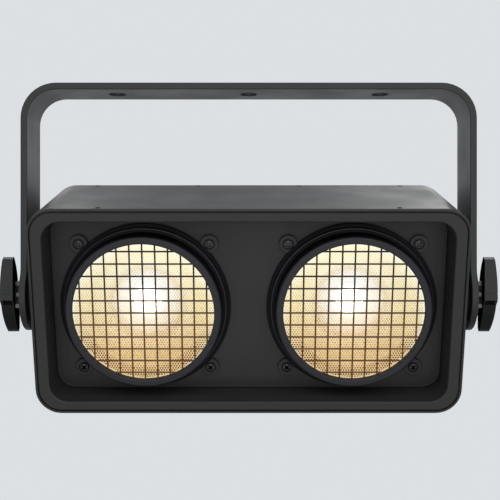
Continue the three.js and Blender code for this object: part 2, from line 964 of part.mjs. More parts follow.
// A bent rod loop on a small foot, for the safety cable.
function makeSafetyEye() {
  const footFront = housing.rear + seatGap;
  const footBack = footFront + eye.baseThick;
  const outline = roundedOutline(eye.baseWidth, eye.baseHeight, eye.rod, windowSteps);
  const foot = pushed(outline, footFront, footBack, "y");
  const start = footFront + eye.baseThick / 2;
  const turn = footBack + eye.straight;
  const legs = [-1, 1].map((side) =>
    rod(eye.rod, start, turn, rodSteps).translate(side * eye.loopRadius, 0, 0),
  );
  const bend = new THREE.TorusGeometry(eye.loopRadius, eye.rod, rodSteps, rodSteps, 2 * quarter);
  const bow = capped(bend).translate(0, turn, 0);
  return join([foot, ...legs, bow]);
}

// Half a ring of rod with flat ends, in the XY plane.
function capped(halfRing) {
  const ends = [-1, 1].map((side) => {
    const disc = new THREE.CircleGeometry(eye.rod, rodSteps);
    disc.rotateX(quarter);
    return disc.translate(side * eye.loopRadius, 0, 0);
  });
  return joinFaces([halfRing, ...ends]);
}

function joinFaces(geometries) {
  const positions = [];
  for (const geometry of geometries) {
    const flat = geometry.toNonIndexed();
    positions.push(...flat.attributes.position.array);
  }
  const whole = new THREE.BufferGeometry();
  whole.setAttribute("position", new THREE.BufferAttribute(new Float32Array(positions), 3));
  return whole;
}

// Tilt axis hardware, about an axis along X. side is 1 on the right and -1 on the left.

const sleeveInner = housingWidth / 2 - housing.wall;
const discOuter = yokeInner - seatGap;
const discInner = discOuter - pivot.discThick;
const washerInner = yokeOuter + seatGap;
const washerOuter = washerInner + pivot.washerThick;
const tabOuter = washerOuter + pivot.tabLength;
const knobInner = tabOuter + seatGap;
const knobOuter = knobInner + knob.thick + knob.crown;
const studOuter = knobOuter - knob.studCover;
const studInner = sleeveInner - pivot.studInside;
const looseBore = pivot.stud + seatGap;

function sided(profile, side) {
  return profile.map(([radius, place]) => [radius, side * place]);
}

function makePivotBoss(side) {
  const flangeOuter = sleeveInner - seatGap;
  const profile = [
    [looseBore, flangeOuter - pivot.bossFlangeThick],
    [pivot.bossFlange, flangeOuter - pivot.bossFlangeThick],
    [pivot.bossFlange, flangeOuter],
    [pivot.bossNeck, flangeOuter],
    [pivot.bossNeck, discInner - seatGap],
    [looseBore, discInner - seatGap],
  ];
  return turned(sided(profile, side), middleSteps, "x");
}

function makeFrictionDisc(side) {
  const profile = [
    [looseBore, discInner],
    [pivot.disc, discInner],
    [pivot.disc, discOuter],
    [looseBore, discOuter],
  ];
  return turned(sided(profile, side), middleSteps, "x");
}

// A washer with two tabs that keep the knob off the yoke, one above the stud and one below.
function makeKnobWasher(side) {
  const disc = [
    [looseBore, washerInner],
    [pivot.washer, washerInner],
    [pivot.washer, washerOuter],
    [looseBore, washerOuter],
  ];
  const tabInner = pivot.washer - pivot.tabThick;
  const collar = [
    [tabInner, washerInner],
    [pivot.washer, washerInner],
    [pivot.washer, tabOuter],
    [tabInner, tabOuter],
  ];
  const span = block(tabOuter * 2, pivot.tabWidth, pivot.washer * 2 + overrun);
  const tabs = meet(turned(sided(collar, side), middleSteps, "x"), span);
  return join([turned(sided(disc, side), middleSteps, "x"), tabs]).rotate([-restTiltDegrees, 0, 0]);
}

function makeKnobStud(side) {
  const tip = pivot.stud - pivot.slack;
  const profile = [
    [0, studInner],
    [tip, studInner],
    [pivot.stud, studInner + pivot.slack],
    [pivot.stud, studOuter],
    [0, studOuter],
  ];
  return turned(sided(profile, side), smallSteps, "x");
}

// One wing's outline: up its straight side, over its tip and down its bowed side.
function wingOutline() {
  const top = knob.reach - knob.tipCorner;
  const tip = arc(knob.tipCorner - knob.straightOff, top, knob.tipCorner, 2 * quarter, quarter, windowSteps);
  const head = new THREE.Vector2(knob.tipWidth - knob.straightOff, knob.reach);
  const foot = new THREE.Vector2(knob.bowOff, knob.bowFoot);
  const along = foot.clone().sub(head);
  const outwards = new THREE.Vector2(-along.y, along.x).normalize();
  const side = [];
  for (let i = 0; i <= knob.bowSteps; i += 1) {
    const share = i / knob.bowSteps;
    const rise = 4 * share * (1 - share) * knob.bow;
    side.push(head.clone().addScaledVector(along, share).addScaledVector(outwards, rise));
  }
  return [new THREE.Vector2(-knob.straightOff, -knob.straightPast), ...tip, ...side];
}

// Two wings, each the other one turned half round the stud, under a crown, with a blind bore.
function makeKnob(side) {
  const wing = wingOutline();
  const outline = [...wing, ...wing.map((point) => point.clone().negate())];
  const outer = side * (knobOuter + overrun);
  const inner = side * knobInner;
  const grip = pushed(outline, Math.min(inner, outer), Math.max(inner, outer), "x");
  const widest = Math.hypot(knob.straightOff, knob.reach) + overrun;
  const crown = [[0, knobInner - overrun], [widest, knobInner - overrun]];
  for (let i = knob.crownRings; i >= 0; i -= 1) {
    const radius = (widest * i) / knob.crownRings;
    crown.push([radius, knobOuter - knob.crown * (radius / knob.reach) ** 2]);
  }
  const boreOuter = studOuter + seatGap;
  const boreInner = knobInner - overrun;
  const bore = [[0, boreInner], [looseBore, boreInner], [looseBore, boreOuter], [0, boreOuter]];
  const whole = meet(grip, turned(sided(crown, side), middleSteps, "x"));
  return cut(whole, [turned(sided(bore, side), smallSteps, "x")]).rotate([-restTiltDegrees, 0, 0]);
}

// Assembly

const light = new THREE.Group();
addPiece(light, "yoke", makeYoke(), finishes.blackPaint);

const head = new THREE.Group();
head.position.set(0, 0, -yoke.drop);
head.rotation.x = THREE.MathUtils.degToRad(restTiltDegrees);
light.add(head);

const box = new THREE.Group();
box.position.set(0, 0, -housing.below);
head.add(box);

addPiece(box, "housing_sleeve", makeSleeve(), finishes.blackPaint);
addPiece(box, "front_frame", makeFrontFrame(), finishes.blackPaint);
addPiece(box, "front_panel", makeFrontPanel(), finishes.blackPaint);
addPiece(box, "rear_panel", makeRearPanel(), finishes.blackPaint);
addPiece(box, "power_supply", makePowerSupply(), finishes.zinc);

const lampPieces = [
  ["trim_ring", makeTrimRing(), finishes.darkCast],
  ["wire_guard", makeWireGuard(), finishes.blackWire],
  ["lens_seal", makeLensSeal(), finishes.blackRubber],
  ["lens_glass", makeLensGlass(), finishes.glassWarm],
  ["lamp_can", makeLampCan(), finishes.darkCast],
  ["reflector", makeReflector(), finishes.mirror],
  ["led_holder", makeLedHolder(), finishes.whitePlastic],
  ["cob_led", makeLed(), finishes.ledWarm],
  ["heat_sink", makeHeatSink(), finishes.blackAluminium],
];
const sides = [["left", -1], ["right", 1]];
const screw = makeLampScrew();

for (const [sideName, side] of sides) {
  const lampGroup = new THREE.Group();
  lampGroup.position.set((side * lampPitch) / 2, 0, -lamp.below);
  box.add(lampGroup);
  for (const [name, part, finish] of lampPieces) {
    addPiece(lampGroup, `${name}_${sideName}`, part, finish);
  }
  earPlaces.forEach(([x, z], i) => {
    const mesh = addPiece(lampGroup, `lamp_screw_${sideName}_${i + 1}`, screw, finishes.blackWire);
    mesh.position.set(x, 0, z);
  });
}

addPiece(box, "control_plate", makeControlPlate(), finishes.blackPaint);
addPiece(box, "display_window", makeDisplayWindow(), finishes.smokedWindow);
addPiece(box, "display_module", makeDisplayModule(), finishes.blackPlastic);
addPiece(box, "control_board", makeControlBoard(), finishes.boardGreen);
const menuButton = makeMenuButton();
for (let i = 0; i < button.count; i += 1) {
  const mesh = addPiece(box, `menu_button_${i + 1}`, menuButton, finishes.blackPlastic);
  mesh.position.set(buttonX(i), 0, buttonZ);
}

const powerSocket = makePowerSocket();
const socketPieces = [
  ["data_in_socket", socketShell(socket.bore), finishes.zinc, -1, dataZ],
  ["data_out_socket", makeDataOut(), finishes.zinc, 1, dataZ],
  ["data_in_insert", makeDataInInsert(), finishes.blackPlastic, -1, dataZ],
  ["data_out_insert", makeDataOutInsert(), finishes.blackPlastic, 1, dataZ],
  ["data_out_latch", makeLatch(), finishes.steel, 1, dataZ],
  ["power_in_socket", powerSocket, finishes.powerBlue, -1, powerZ],
  ["power_out_socket", powerSocket, finishes.powerGrey, 1, powerZ],
];
for (const [name, part, finish, side, z] of socketPieces) {
  const mesh = addPiece(box, name, part, finish);
  mesh.position.set(socketColumn(side), 0, z);
}
const safetyEye = addPiece(box, "safety_eye", makeSafetyEye(), finishes.steel);
safetyEye.position.set(0, 0, housingHeight / 2 - eye.fromTop);

for (const [sideName, side] of sides) {
  addPiece(head, `pivot_boss_${sideName}`, makePivotBoss(side), finishes.steel);
  addPiece(head, `friction_disc_${sideName}`, makeFrictionDisc(side), finishes.blackRubber);
  addPiece(head, `knob_washer_${sideName}`, makeKnobWasher(side), finishes.steel);
  addPiece(head, `knob_stud_${sideName}`, makeKnobStud(side), finishes.steel);
  addPiece(head, `knob_${sideName}`, makeKnob(side), finishes.blackPlastic);
}

export default light;
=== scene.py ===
"""Looks of an audience blinder light: round lamps in a wide housing, hung in a flat strip yoke.

Sizes are millimetres in the part's own frame, with X to the right, Y to the back and Z up, and the origin at
the middle of the yoke bar's top face. They become metres when a piece is put in its place.
"""

import json
import logging
import math
from dataclasses import dataclass, field
from enum import Enum
from typing import Iterable, Optional, Sequence, Union

import bmesh
import bpy
from mathutils import Matrix, Vector

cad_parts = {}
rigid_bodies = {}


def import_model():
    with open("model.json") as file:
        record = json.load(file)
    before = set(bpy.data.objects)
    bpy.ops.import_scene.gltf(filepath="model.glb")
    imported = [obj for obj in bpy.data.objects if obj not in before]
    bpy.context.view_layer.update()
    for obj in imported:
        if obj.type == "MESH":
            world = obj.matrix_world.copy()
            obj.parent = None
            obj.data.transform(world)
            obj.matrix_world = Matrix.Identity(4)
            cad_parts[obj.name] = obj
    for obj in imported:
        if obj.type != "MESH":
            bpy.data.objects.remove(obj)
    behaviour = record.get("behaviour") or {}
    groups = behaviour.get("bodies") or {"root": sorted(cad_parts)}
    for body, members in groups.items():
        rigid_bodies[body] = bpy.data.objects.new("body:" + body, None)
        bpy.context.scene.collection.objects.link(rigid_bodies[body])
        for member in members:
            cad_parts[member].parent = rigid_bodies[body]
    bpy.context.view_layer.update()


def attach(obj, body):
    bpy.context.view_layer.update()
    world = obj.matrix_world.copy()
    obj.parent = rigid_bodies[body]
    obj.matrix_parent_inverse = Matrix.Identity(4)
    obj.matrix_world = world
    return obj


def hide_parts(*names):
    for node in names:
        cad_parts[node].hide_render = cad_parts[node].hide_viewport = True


LOG = logging.getLogger("blinder")

# One millimetre in metres, how far a cut reaches past what it cuts, and the gap between seated pieces

MM = 0.001
METRES = Matrix.Scale(MM, 4)
OVERRUN = 1.0
SEAT = 0.3

# Facets round a turned piece, from the largest pieces to the smallest, in a corner and across a rounded edge

FINE = 96
ROUND = 64
SMALL = 32
TINY = 16
CORNER = 10
ROLLED = 5
PLAIN_STEPS = 2
BROAD_STEPS = 3

# Rounding of sharp edges in millimetres, and the angles from which an edge is rounded or shaded sharp

FAINT_EDGE = 0.1
SMALL_EDGE = 0.15
LIGHT_EDGE = 0.2
CRISP_EDGE = 0.3
PLAIN_EDGE = 0.4
SOFT_EDGE = 0.5
ROUNDED_FROM = 32
SHARP_FROM = 38

# A colour as three shares of light, a pair and a triple of lengths, and what a node's input takes

Colour = tuple[float, float, float]
Span = tuple[float, float]
Size = tuple[float, float, float]
Value = Union[bpy.types.NodeSocket, float, Sequence[float]]


class Side(Enum):
    """One of the two sides of the light, with its direction along X."""

    LEFT = -1
    RIGHT = 1

    @property
    def word(self) -> str:
        """The side's name in small letters, as the pieces' names have it."""
        return self.name.lower()


class Axis(Enum):
    """The direction in which an outline is pushed, or about which it turns."""

    X = Matrix(((0, 1, 0, 0), (1, 0, 0, 0), (0, 0, 1, 0), (0, 0, 0, 1)))
    Y = Matrix.Identity(4)
    Z = Matrix(((1, 0, 0, 0), (0, 0, 1, 0), (0, 1, 0, 0), (0, 0, 0, 1)))


TURNED = {
    Axis.X: Matrix(((0, 0, 1, 0), (1, 0, 0, 0), (0, 1, 0, 0), (0, 0, 0, 1))),
    Axis.Y: Matrix(((1, 0, 0, 0), (0, 0, 1, 0), (0, -1, 0, 0), (0, 0, 0, 1))),
    Axis.Z: Matrix.Identity(4),
}


# Shapes


class Pen:
    """Draws a flat outline of lines and arcs in the XZ plane."""

    def __init__(self, x: float, z: float) -> None:
        """Puts the pen down.

        Args:
            x: first place across.
            z: first place up.
        """
        self.mesh = bmesh.new()
        self.tip = self.mesh.verts.new((x, 0, z))
        self.start = self.tip

    def line(self, x: float, z: float) -> "Pen":
        """Draws a straight stretch.

        Args:
            x: place across of its end.
            z: place up of its end.

        Returns:
            The pen.
        """
        self.tip = bmesh.ops.extrude_vert_indiv(self.mesh, verts=[self.tip])["verts"][0]
        self.tip.co = (x, 0, z)
        return self

    def lines(self, points: Iterable[Span]) -> "Pen":
        """Draws straight stretches through points.

        Args:
            points: places across and up.

        Returns:
            The pen.
        """
        for x, z in points:
            self.line(x, z)
        return self

    def arc(self, x: float, z: float, degrees: float, steps: int = CORNER) -> "Pen":
        """Draws an arc.

        Args:
            x: its centre across.
            z: its centre upwards.
            degrees: how far it turns, from X towards Z.
            steps: number of straight facets.

        Returns:
            The pen.
        """
        made = bmesh.ops.spin(
            self.mesh, geom=[self.tip], cent=(x, 0, z), axis=(0, -1, 0), dvec=(0, 0, 0),
            angle=math.radians(degrees), steps=steps, use_merge=False, use_duplicate=False,
        )
        self.tip = picked(made["geom_last"], bmesh.types.BMVert)[0]
        return self

    def closed(self) -> bmesh.types.BMesh:
        """Joins the last point to the first one and returns the outline."""
        self.mesh.edges.new((self.tip, self.start))
        return self.mesh

    def sheet(self) -> bmesh.types.BMesh:
        """Closes the outline and fills it with one face.

        Returns:
            The face.
        """
        mesh = self.closed()
        bmesh.ops.contextual_create(mesh, geom=mesh.edges[:])
        return mesh


def rounded_sheet(width: float, height: float, corner: float) -> bmesh.types.BMesh:
    """Makes a flat rectangle with round corners about the origin, in the XZ plane.

    Args:
        width: its size across.
        height: its size upwards.
        corner: its corner radius.

    Returns:
        The sheet as one face.
    """
    mesh = bmesh.new()
    bmesh.ops.create_grid(mesh, x_segments=1, y_segments=1, size=0.5)
    bmesh.ops.scale(mesh, vec=(width, height, 1), verts=mesh.verts[:])
    bmesh.ops.bevel(
        mesh, geom=mesh.verts[:], offset=corner, segments=CORNER, profile=0.5, affect="VERTICES", material=-1,
    )
    mesh.transform(Matrix.Rotation(math.pi / 2, 4, "X"))
    return mesh


def picked(parts: Iterable[object], kind: type) -> list:
    """Keeps the points, edges or faces among what an operator made."""
    return [part for part in parts if isinstance(part, kind)]


def pushed(sheet: bmesh.types.BMesh, start: float, end: float, axis: Axis = Axis.Y) -> bmesh.types.BMesh:
    """Pushes a sheet along an axis into a closed solid.

    Args:
        sheet: faces in the XZ plane, which lie in YZ for X and in XY for Z.
        start: where the solid begins along the axis.
        end: where it ends.
        axis: the direction.

    Returns:
        The solid.
    """
    made = bmesh.ops.extrude_face_region(sheet, geom=sheet.faces[:])
    bmesh.ops.translate(sheet, vec=(0, end - start, 0), verts=picked(made["geom"], bmesh.types.BMVert))
    bmesh.ops.translate(sheet, vec=(0, start, 0), verts=sheet.verts[:])
    sheet.transform(axis.value)
    bmesh.ops.recalc_face_normals(sheet, faces=sheet.faces[:])
    return sheet


def slab(
    width: float, height: float, corner: float, start: float, end: float, inset: float = 0.0
) -> bmesh.types.BMesh:
    """Makes a plate across Y with round corners.

    Args:
        width: its size across.
        height: its size upwards.
        corner: its corner radius.
        start: its front along Y.
        end: its back along Y.
        inset: how much smaller it is made on every side.

    Returns:
        The plate.
    """
    return pushed(rounded_sheet(width - inset * 2, height - inset * 2, corner - inset), start, end)


def turned(outline: bmesh.types.BMesh, steps: int = ROUND, axis: Axis = Axis.Y) -> bmesh.types.BMesh:
    """Spins an outline round an axis.

    Args:
        outline: a line of points with the radius along X and the place on the axis along Z.
        steps: facets round the axis.
        axis: the axis.

    Returns:
        The turned solid.
    """
    bmesh.ops.spin(
        outline, geom=outline.verts[:] + outline.edges[:], cent=(0, 0, 0), axis=(0, 0, 1), dvec=(0, 0, 0),
        angle=2 * math.pi, steps=steps, use_merge=True, use_duplicate=False,
    )
    bmesh.ops.remove_doubles(outline, verts=outline.verts[:], dist=MM)
    outline.transform(TURNED[axis])
    bmesh.ops.recalc_face_normals(outline, faces=outline.faces[:])
    return outline


def ring(
    outer: float, inner: float, start: float, end: float, steps: int = ROUND, axis: Axis = Axis.Y
) -> bmesh.types.BMesh:
    """Makes a plain tube.

    Args:
        outer: its outer radius.
        inner: its inner radius.
        start: where it begins on the axis.
        end: where it ends.
        steps: facets round the axis.
        axis: the axis.

    Returns:
        The tube.
    """
    return turned(Pen(inner, start).lines([(outer, start), (outer, end), (inner, end)]).closed(), steps, axis)


def rod(
    radius: float, start: float, end: float, steps: int = SMALL, axis: Axis = Axis.Y
) -> bmesh.types.BMesh:
    """Makes a plain cylinder.

    Args:
        radius: its radius.
        start: where it begins on the axis.
        end: where it ends.
        steps: facets round the axis.
        axis: the axis.

    Returns:
        The cylinder.
    """
    return turned(Pen(0, start).lines([(radius, start), (radius, end), (0, end)]).mesh, steps, axis)


def block(width: float, depth: float, height: float) -> bmesh.types.BMesh:
    """Makes a box about the origin.

    Args:
        width: its size along X.
        depth: its size along Y.
        height: its size along Z.

    Returns:
        The box.
    """
    mesh = bmesh.new()
    bmesh.ops.create_cube(mesh, size=1)
    bmesh.ops.scale(mesh, vec=(width, depth, height), verts=mesh.verts[:])
    return mesh


def shifted(mesh: bmesh.types.BMesh, x: float = 0, y: float = 0, z: float = 0) -> bmesh.types.BMesh:
    """Moves a shape and returns it.

    Args:
        mesh: the shape.
        x: how far to the right.
        y: how far back.
        z: how far up.

    Returns:
        The same shape.
    """
    bmesh.ops.translate(mesh, vec=(x, y, z), verts=mesh.verts[:])
    return mesh


def softened(
    mesh: bmesh.types.BMesh, level: float, radius: float, reach: Span = (math.inf, math.inf)
) -> bmesh.types.BMesh:
    """Rounds the edges of a shape that lie at one level along Y.

    Args:
        mesh: the shape.
        level: the level.
        radius: radius of the rounding.
        reach: how far from the axis the rounded edges may lie, across and upwards.

    Returns:
        The same shape.
    """
    near = {
        vert for vert in mesh.verts
        if abs(vert.co.y - level) < MM and abs(vert.co.x) < reach[0] + MM and abs(vert.co.z) < reach[1] + MM
    }
    rim = [edge for edge in mesh.edges if near.issuperset(edge.verts)]
    bmesh.ops.bevel(mesh, geom=rim, offset=radius, segments=ROLLED, profile=0.5, affect="EDGES", material=-1)
    return mesh


def corners(reach: float) -> list[Span]:
    """Gives the four places, across and up, that lie this far from the middle both ways."""
    return [(x, z) for x in (-reach, reach) for z in (-reach, reach)]


def gathered(meshes: Iterable[bmesh.types.BMesh]) -> bmesh.types.BMesh:
    """Puts several closed shapes into one mesh, side by side.

    Args:
        meshes: the shapes, which are used up.

    Returns:
        The mesh that holds them all.
    """
    whole = bmesh.new()
    for mesh in meshes:
        part = bpy.data.meshes.new("part")
        mesh.to_mesh(part)
        mesh.free()
        whole.from_mesh(part)
        bpy.data.meshes.remove(part)
    return whole


class Joinery(Enum):
    """What a solid does with the solids that meet it."""

    CUT = "DIFFERENCE"
    JOIN = "UNION"
    MEET = "INTERSECT"


def worked(
    base: bmesh.types.BMesh, tools: Iterable[bmesh.types.BMesh], joinery: Joinery = Joinery.CUT
) -> bmesh.types.BMesh:
    """Cuts a solid by others, joins them to it or keeps what they share.

    Args:
        base: the solid, which is used up.
        tools: the other solids, which are used up.
        joinery: what is done.

    Returns:
        The worked solid.
    """
    shelf = bpy.data.collections.new("tools")
    bpy.context.scene.collection.children.link(shelf)
    host = loose_object("host", base)
    bpy.context.scene.collection.objects.link(host)
    for tool in tools:
        shelf.objects.link(loose_object("tool", tool))
    modifier = host.modifiers.new("work", "BOOLEAN")
    modifier.operation = joinery.value
    modifier.operand_type = "COLLECTION"
    modifier.collection = shelf
    modifier.solver = "EXACT"
    result = bmesh.new()
    result.from_object(host, bpy.context.evaluated_depsgraph_get())
    for spent in [host, *shelf.objects]:
        data = spent.data
        bpy.data.objects.remove(spent)
        bpy.data.meshes.remove(data)
    bpy.data.collections.remove(shelf)
    bmesh.ops.remove_doubles(result, verts=result.verts[:], dist=MM)
    bmesh.ops.dissolve_degenerate(result, edges=result.edges[:], dist=MM)
    return result


def loose_object(name: str, mesh: bmesh.types.BMesh) -> bpy.types.Object:
    """Makes an unlinked object of a shape.

    Args:
        name: the object's name.
        mesh: the shape, which is used up.

    Returns:
        The object.
    """
    bmesh.ops.recalc_face_normals(mesh, faces=mesh.faces[:])
    data = bpy.data.meshes.new(name)
    mesh.to_mesh(data)
    mesh.free()
    return bpy.data.objects.new(name, data)


# Finishes


def scaled(colour: Colour, share: float) -> Colour:
    """Makes a colour darker or lighter."""
    return tuple(part * share for part in colour)


class NodeSheet:
    """The nodes of one finish, with its main shader."""

    def __init__(self, name: str) -> None:
        """Starts a material.

        Args:
            name: its name.
        """
        self.material = bpy.data.materials.new(name)
        self.material.use_nodes = True
        self.tree = self.material.node_tree
        self.shader = self.tree.nodes["Principled BSDF"]

    def feed(self, socket: bpy.types.NodeSocket, value: Value) -> None:
        """Links a socket to another, or sets it.

        Args:
            socket: the input.
            value: an output socket, a number or a row of numbers.
        """
        if isinstance(value, bpy.types.NodeSocket):
            self.tree.links.new(value, socket)
        else:
            socket.default_value = value

    def set(self, **inputs: Value) -> None:
        """Sets the main shader's inputs.

        Args:
            inputs: values by socket name, with _ for each space.
        """
        for name, value in inputs.items():
            if isinstance(value, tuple) and len(value) == 3:
                value = (*value, 1.0)
            self.feed(self.shader.inputs[name.replace("_", " ")], value)

    def node(self, kind: str, values: Sequence[Value] = (), **settings: object) -> bpy.types.Node:
        """Adds a node.

        Args:
            kind: its type's name.
            values: its first inputs, in order.
            settings: its properties.

        Returns:
            The node.
        """
        node = self.tree.nodes.new(kind)
        for name, value in settings.items():
            setattr(node, name, value)
        for socket, value in zip(node.inputs, values):
            self.feed(socket, value)
        return node

    def math(self, operation: str, *values: Value) -> bpy.types.NodeSocket:
        """Adds a sum of numbers and gives its result."""
        return self.node("ShaderNodeMath", values, operation=operation).outputs[0]

    def product(self, first: Value, *others: Value) -> bpy.types.NodeSocket:
        """Multiplies numbers.

        Args:
            first: a number.
            others: the other numbers.

        Returns:
            Their product.
        """
        for other in others:
            first = self.math("MULTIPLY", first, other)
        return first

    def off(self, value: Value, place: float) -> bpy.types.NodeSocket:
        """Measures how far a number is from a fixed one."""
        return self.math("ABSOLUTE", self.math("SUBTRACT", value, place))

    def vector(self, operation: str, *values: Value) -> bpy.types.NodeSocket:
        """Adds a sum of vectors.

        Args:
            operation: what is worked out.
            values: the vectors.

        Returns:
            The vector, or the length for LENGTH.
        """
        node = self.node("ShaderNodeVectorMath", values, operation=operation)
        return node.outputs["Value" if operation == "LENGTH" else "Vector"]

    def part(self, point: bpy.types.NodeSocket, letter: str) -> bpy.types.NodeSocket:
        """Gives one coordinate of a point."""
        return self.node("ShaderNodeSeparateXYZ", [point]).outputs[letter]

    def radius(self, point: bpy.types.NodeSocket) -> bpy.types.NodeSocket:
        """Measures how far a point is from the Y axis."""
        return self.vector("LENGTH", self.vector("MULTIPLY", point, (1, 0, 1)))

    def fed(self, name: str) -> bpy.types.NodeSocket:
        """Gives the socket that feeds one of the main shader's inputs."""
        return self.shader.inputs[name].links[0].from_socket

    def dimmed(self, colour: bpy.types.NodeSocket, share: Value) -> bpy.types.NodeSocket:
        """Scales a colour by a number."""
        return self.vector("SCALE", colour, (0, 0, 0), (0, 0, 0), share)

    def place(self, matrix: Optional[Matrix] = None) -> bpy.types.NodeSocket:
        """Gives the point on the piece, in millimetres.

        Args:
            matrix: the place of the piece whose own axes are wanted, or none for the part's frame.

        Returns:
            The point.
        """
        point = self.node("ShaderNodeTexCoord").outputs["Object"]
        where, turn, size = (matrix or METRES).decompose()
        node = self.node("ShaderNodeMapping", [point], vector_type="TEXTURE")
        node.inputs["Location"].default_value = where
        node.inputs["Rotation"].default_value = turn.to_euler()
        node.inputs["Scale"].default_value = size
        return node.outputs[0]

    def noise(
        self, point: bpy.types.NodeSocket, size: float, detail: float = 2.0,
        stretch: Sequence[float] = (1, 1, 1),
    ) -> bpy.types.NodeSocket:
        """Adds soft random spots.

        Args:
            point: the point in millimetres.
            size: the spots' size in millimetres.
            detail: how many finer layers lie on them.
            stretch: how much longer they are along each axis.

        Returns:
            A number from 0 to 1.
        """
        scaled = self.vector("DIVIDE", point, [size * long for long in stretch])
        node = self.node("ShaderNodeTexNoise", [scaled])
        node.inputs["Scale"].default_value = 1.0
        node.inputs["Detail"].default_value = detail
        return node.outputs[0]

    def range(
        self,
        value: Value,
        low: float,
        high: float,
        to_low: float = 0.0,
        to_high: float = 1.0,
        smooth: bool = False,
    ) -> bpy.types.NodeSocket:
        """Spreads one range of numbers onto another.

        Args:
            value: the number.
            low: the number that gives to_low.
            high: the number that gives to_high.
            to_low: first result.
            to_high: last result.
            smooth: whether the change eases in and out.

        Returns:
            The result.
        """
        kind = "SMOOTHSTEP" if smooth else "LINEAR"
        node = self.node("ShaderNodeMapRange", [value, low, high, to_low, to_high], interpolation_type=kind)
        return node.outputs[0]

    def mix(self, share: Value, first: Value, second: Value, way: str = "MIX") -> bpy.types.NodeSocket:
        """Mixes two colours.

        Args:
            share: how much of the second one is taken.
            first: a colour.
            second: a colour.
            way: how they are mixed.

        Returns:
            The mixed colour.
        """
        node = self.node("ShaderNodeMix", data_type="RGBA", blend_type=way)
        for socket, value in zip([node.inputs[0], node.inputs[6], node.inputs[7]], [share, first, second]):
            self.feed(socket, (*value, 1.0) if isinstance(value, tuple) else value)
        return node.outputs[2]

    def ramp(self, value: Value, stops: Sequence[tuple[float, Colour]]) -> bpy.types.NodeSocket:
        """Turns a number into a colour.

        Args:
            value: a number from 0 to 1.
            stops: colours by their place in that range.

        Returns:
            The colour.
        """
        node = self.node("ShaderNodeValToRGB", [value])
        bar = node.color_ramp
        while len(bar.elements) < len(stops):
            bar.elements.new(0.5)
        for element, (where, colour) in zip(bar.elements, stops):
            element.position = where
            element.color = (*colour, 1.0)
        return node.outputs[0]

    def relief(self, height: bpy.types.NodeSocket, depth: float) -> None:
        """Raises the surface a little by a height.

        Args:
            height: a number from 0 to 1.
            depth: how high 1 is, in millimetres.
        """
        node = self.node("ShaderNodeBump")
        node.inputs["Strength"].default_value = 1.0
        node.inputs["Distance"].default_value = depth * MM
        self.feed(node.inputs["Height"], height)
        self.set(Normal=node.outputs[0])


@dataclass(frozen=True)
class Finish:
    """What every finish has."""

    slot: str
    colour: Colour
    kind: str = ""

    def material(self, place: Optional[Matrix] = None) -> bpy.types.Material:
        """Gives the finish's material, made when it is first asked for.

        Args:
            place: the piece's place, where the pattern follows its own axes.

        Returns:
            The material.
        """
        name = f"{self.slot}{self.kind}_finish"
        if place is not None:
            name += f".{place.translation.x / MM:.0f}"
        found = bpy.data.materials.get(name)
        if found:
            return found
        sheet = NodeSheet(name)
        self.draw(sheet, sheet.place(place))
        return sheet.material

    def draw(self, sheet: NodeSheet, point: bpy.types.NodeSocket) -> None:
        """Draws the finish's nodes.

        Args:
            sheet: the material.
            point: the point on the piece, in millimetres.
        """
        raise NotImplementedError


@dataclass(frozen=True)
class Coated(Finish):
    """Satin powder coat or paint on metal, with a fine grain and a little unevenness."""

    roughness: float = 0.48
    grain: float = 0.5
    depth: float = 0.02
    gloss: float = 0.4
    cloud: float = 45.0
    cloud_detail: float = 3.0
    cloud_span: Span = (0.3, 0.7)
    grain_span: Span = (0.35, 0.65)
    grain_share: float = 0.4
    tint_change: float = 0.12
    rough_change: float = 0.06

    def draw(self, sheet: NodeSheet, point: bpy.types.NodeSocket) -> None:
        """Draws the coat's nodes.

        Args:
            sheet: the material.
            point: the point on the piece, in millimetres.
        """
        cloud = sheet.noise(point, self.cloud, self.cloud_detail)
        grain = sheet.noise(point, self.grain)
        speck = sheet.range(grain, *self.grain_span)
        tone = sheet.math("MULTIPLY_ADD", speck, self.grain_share, sheet.product(cloud, 1 - self.grain_share))
        dark, light = (scaled(self.colour, 1 + way * self.tint_change) for way in (-1, 1))
        ends = (self.roughness - self.rough_change, self.roughness + self.rough_change)
        sheet.set(
            Base_Color=sheet.mix(tone, dark, light),
            Roughness=sheet.range(cloud, *self.cloud_span, *ends),
            Specular_IOR_Level=self.gloss,
        )
        sheet.relief(grain, self.depth)


@dataclass(frozen=True)
class Warmed(Coated):
    """Coat of the guard's wires, with a painted glow that stands for the warm light of the lamp's lower half
    falling on them.
    """

    warmth: Colour = (0.085, 0.032, 0.001)
    warm_span: Span = (-15.0, 30.0)

    def draw(self, sheet: NodeSheet, point: bpy.types.NodeSocket) -> None:
        """Draws the coat's nodes and the painted glow of the warm light, which fades towards the top.

        Args:
            sheet: the material.
            point: the point on the piece, in millimetres.
        """
        super().draw(sheet, point)
        # Painted light: emission, full from 15 mm below the lamp's middle, gone 30 mm above it
        strength = sheet.range(sheet.part(point, "Z"), *self.warm_span, 1.0, 0.0)
        sheet.set(Emission_Color=self.warmth, Emission_Strength=strength)


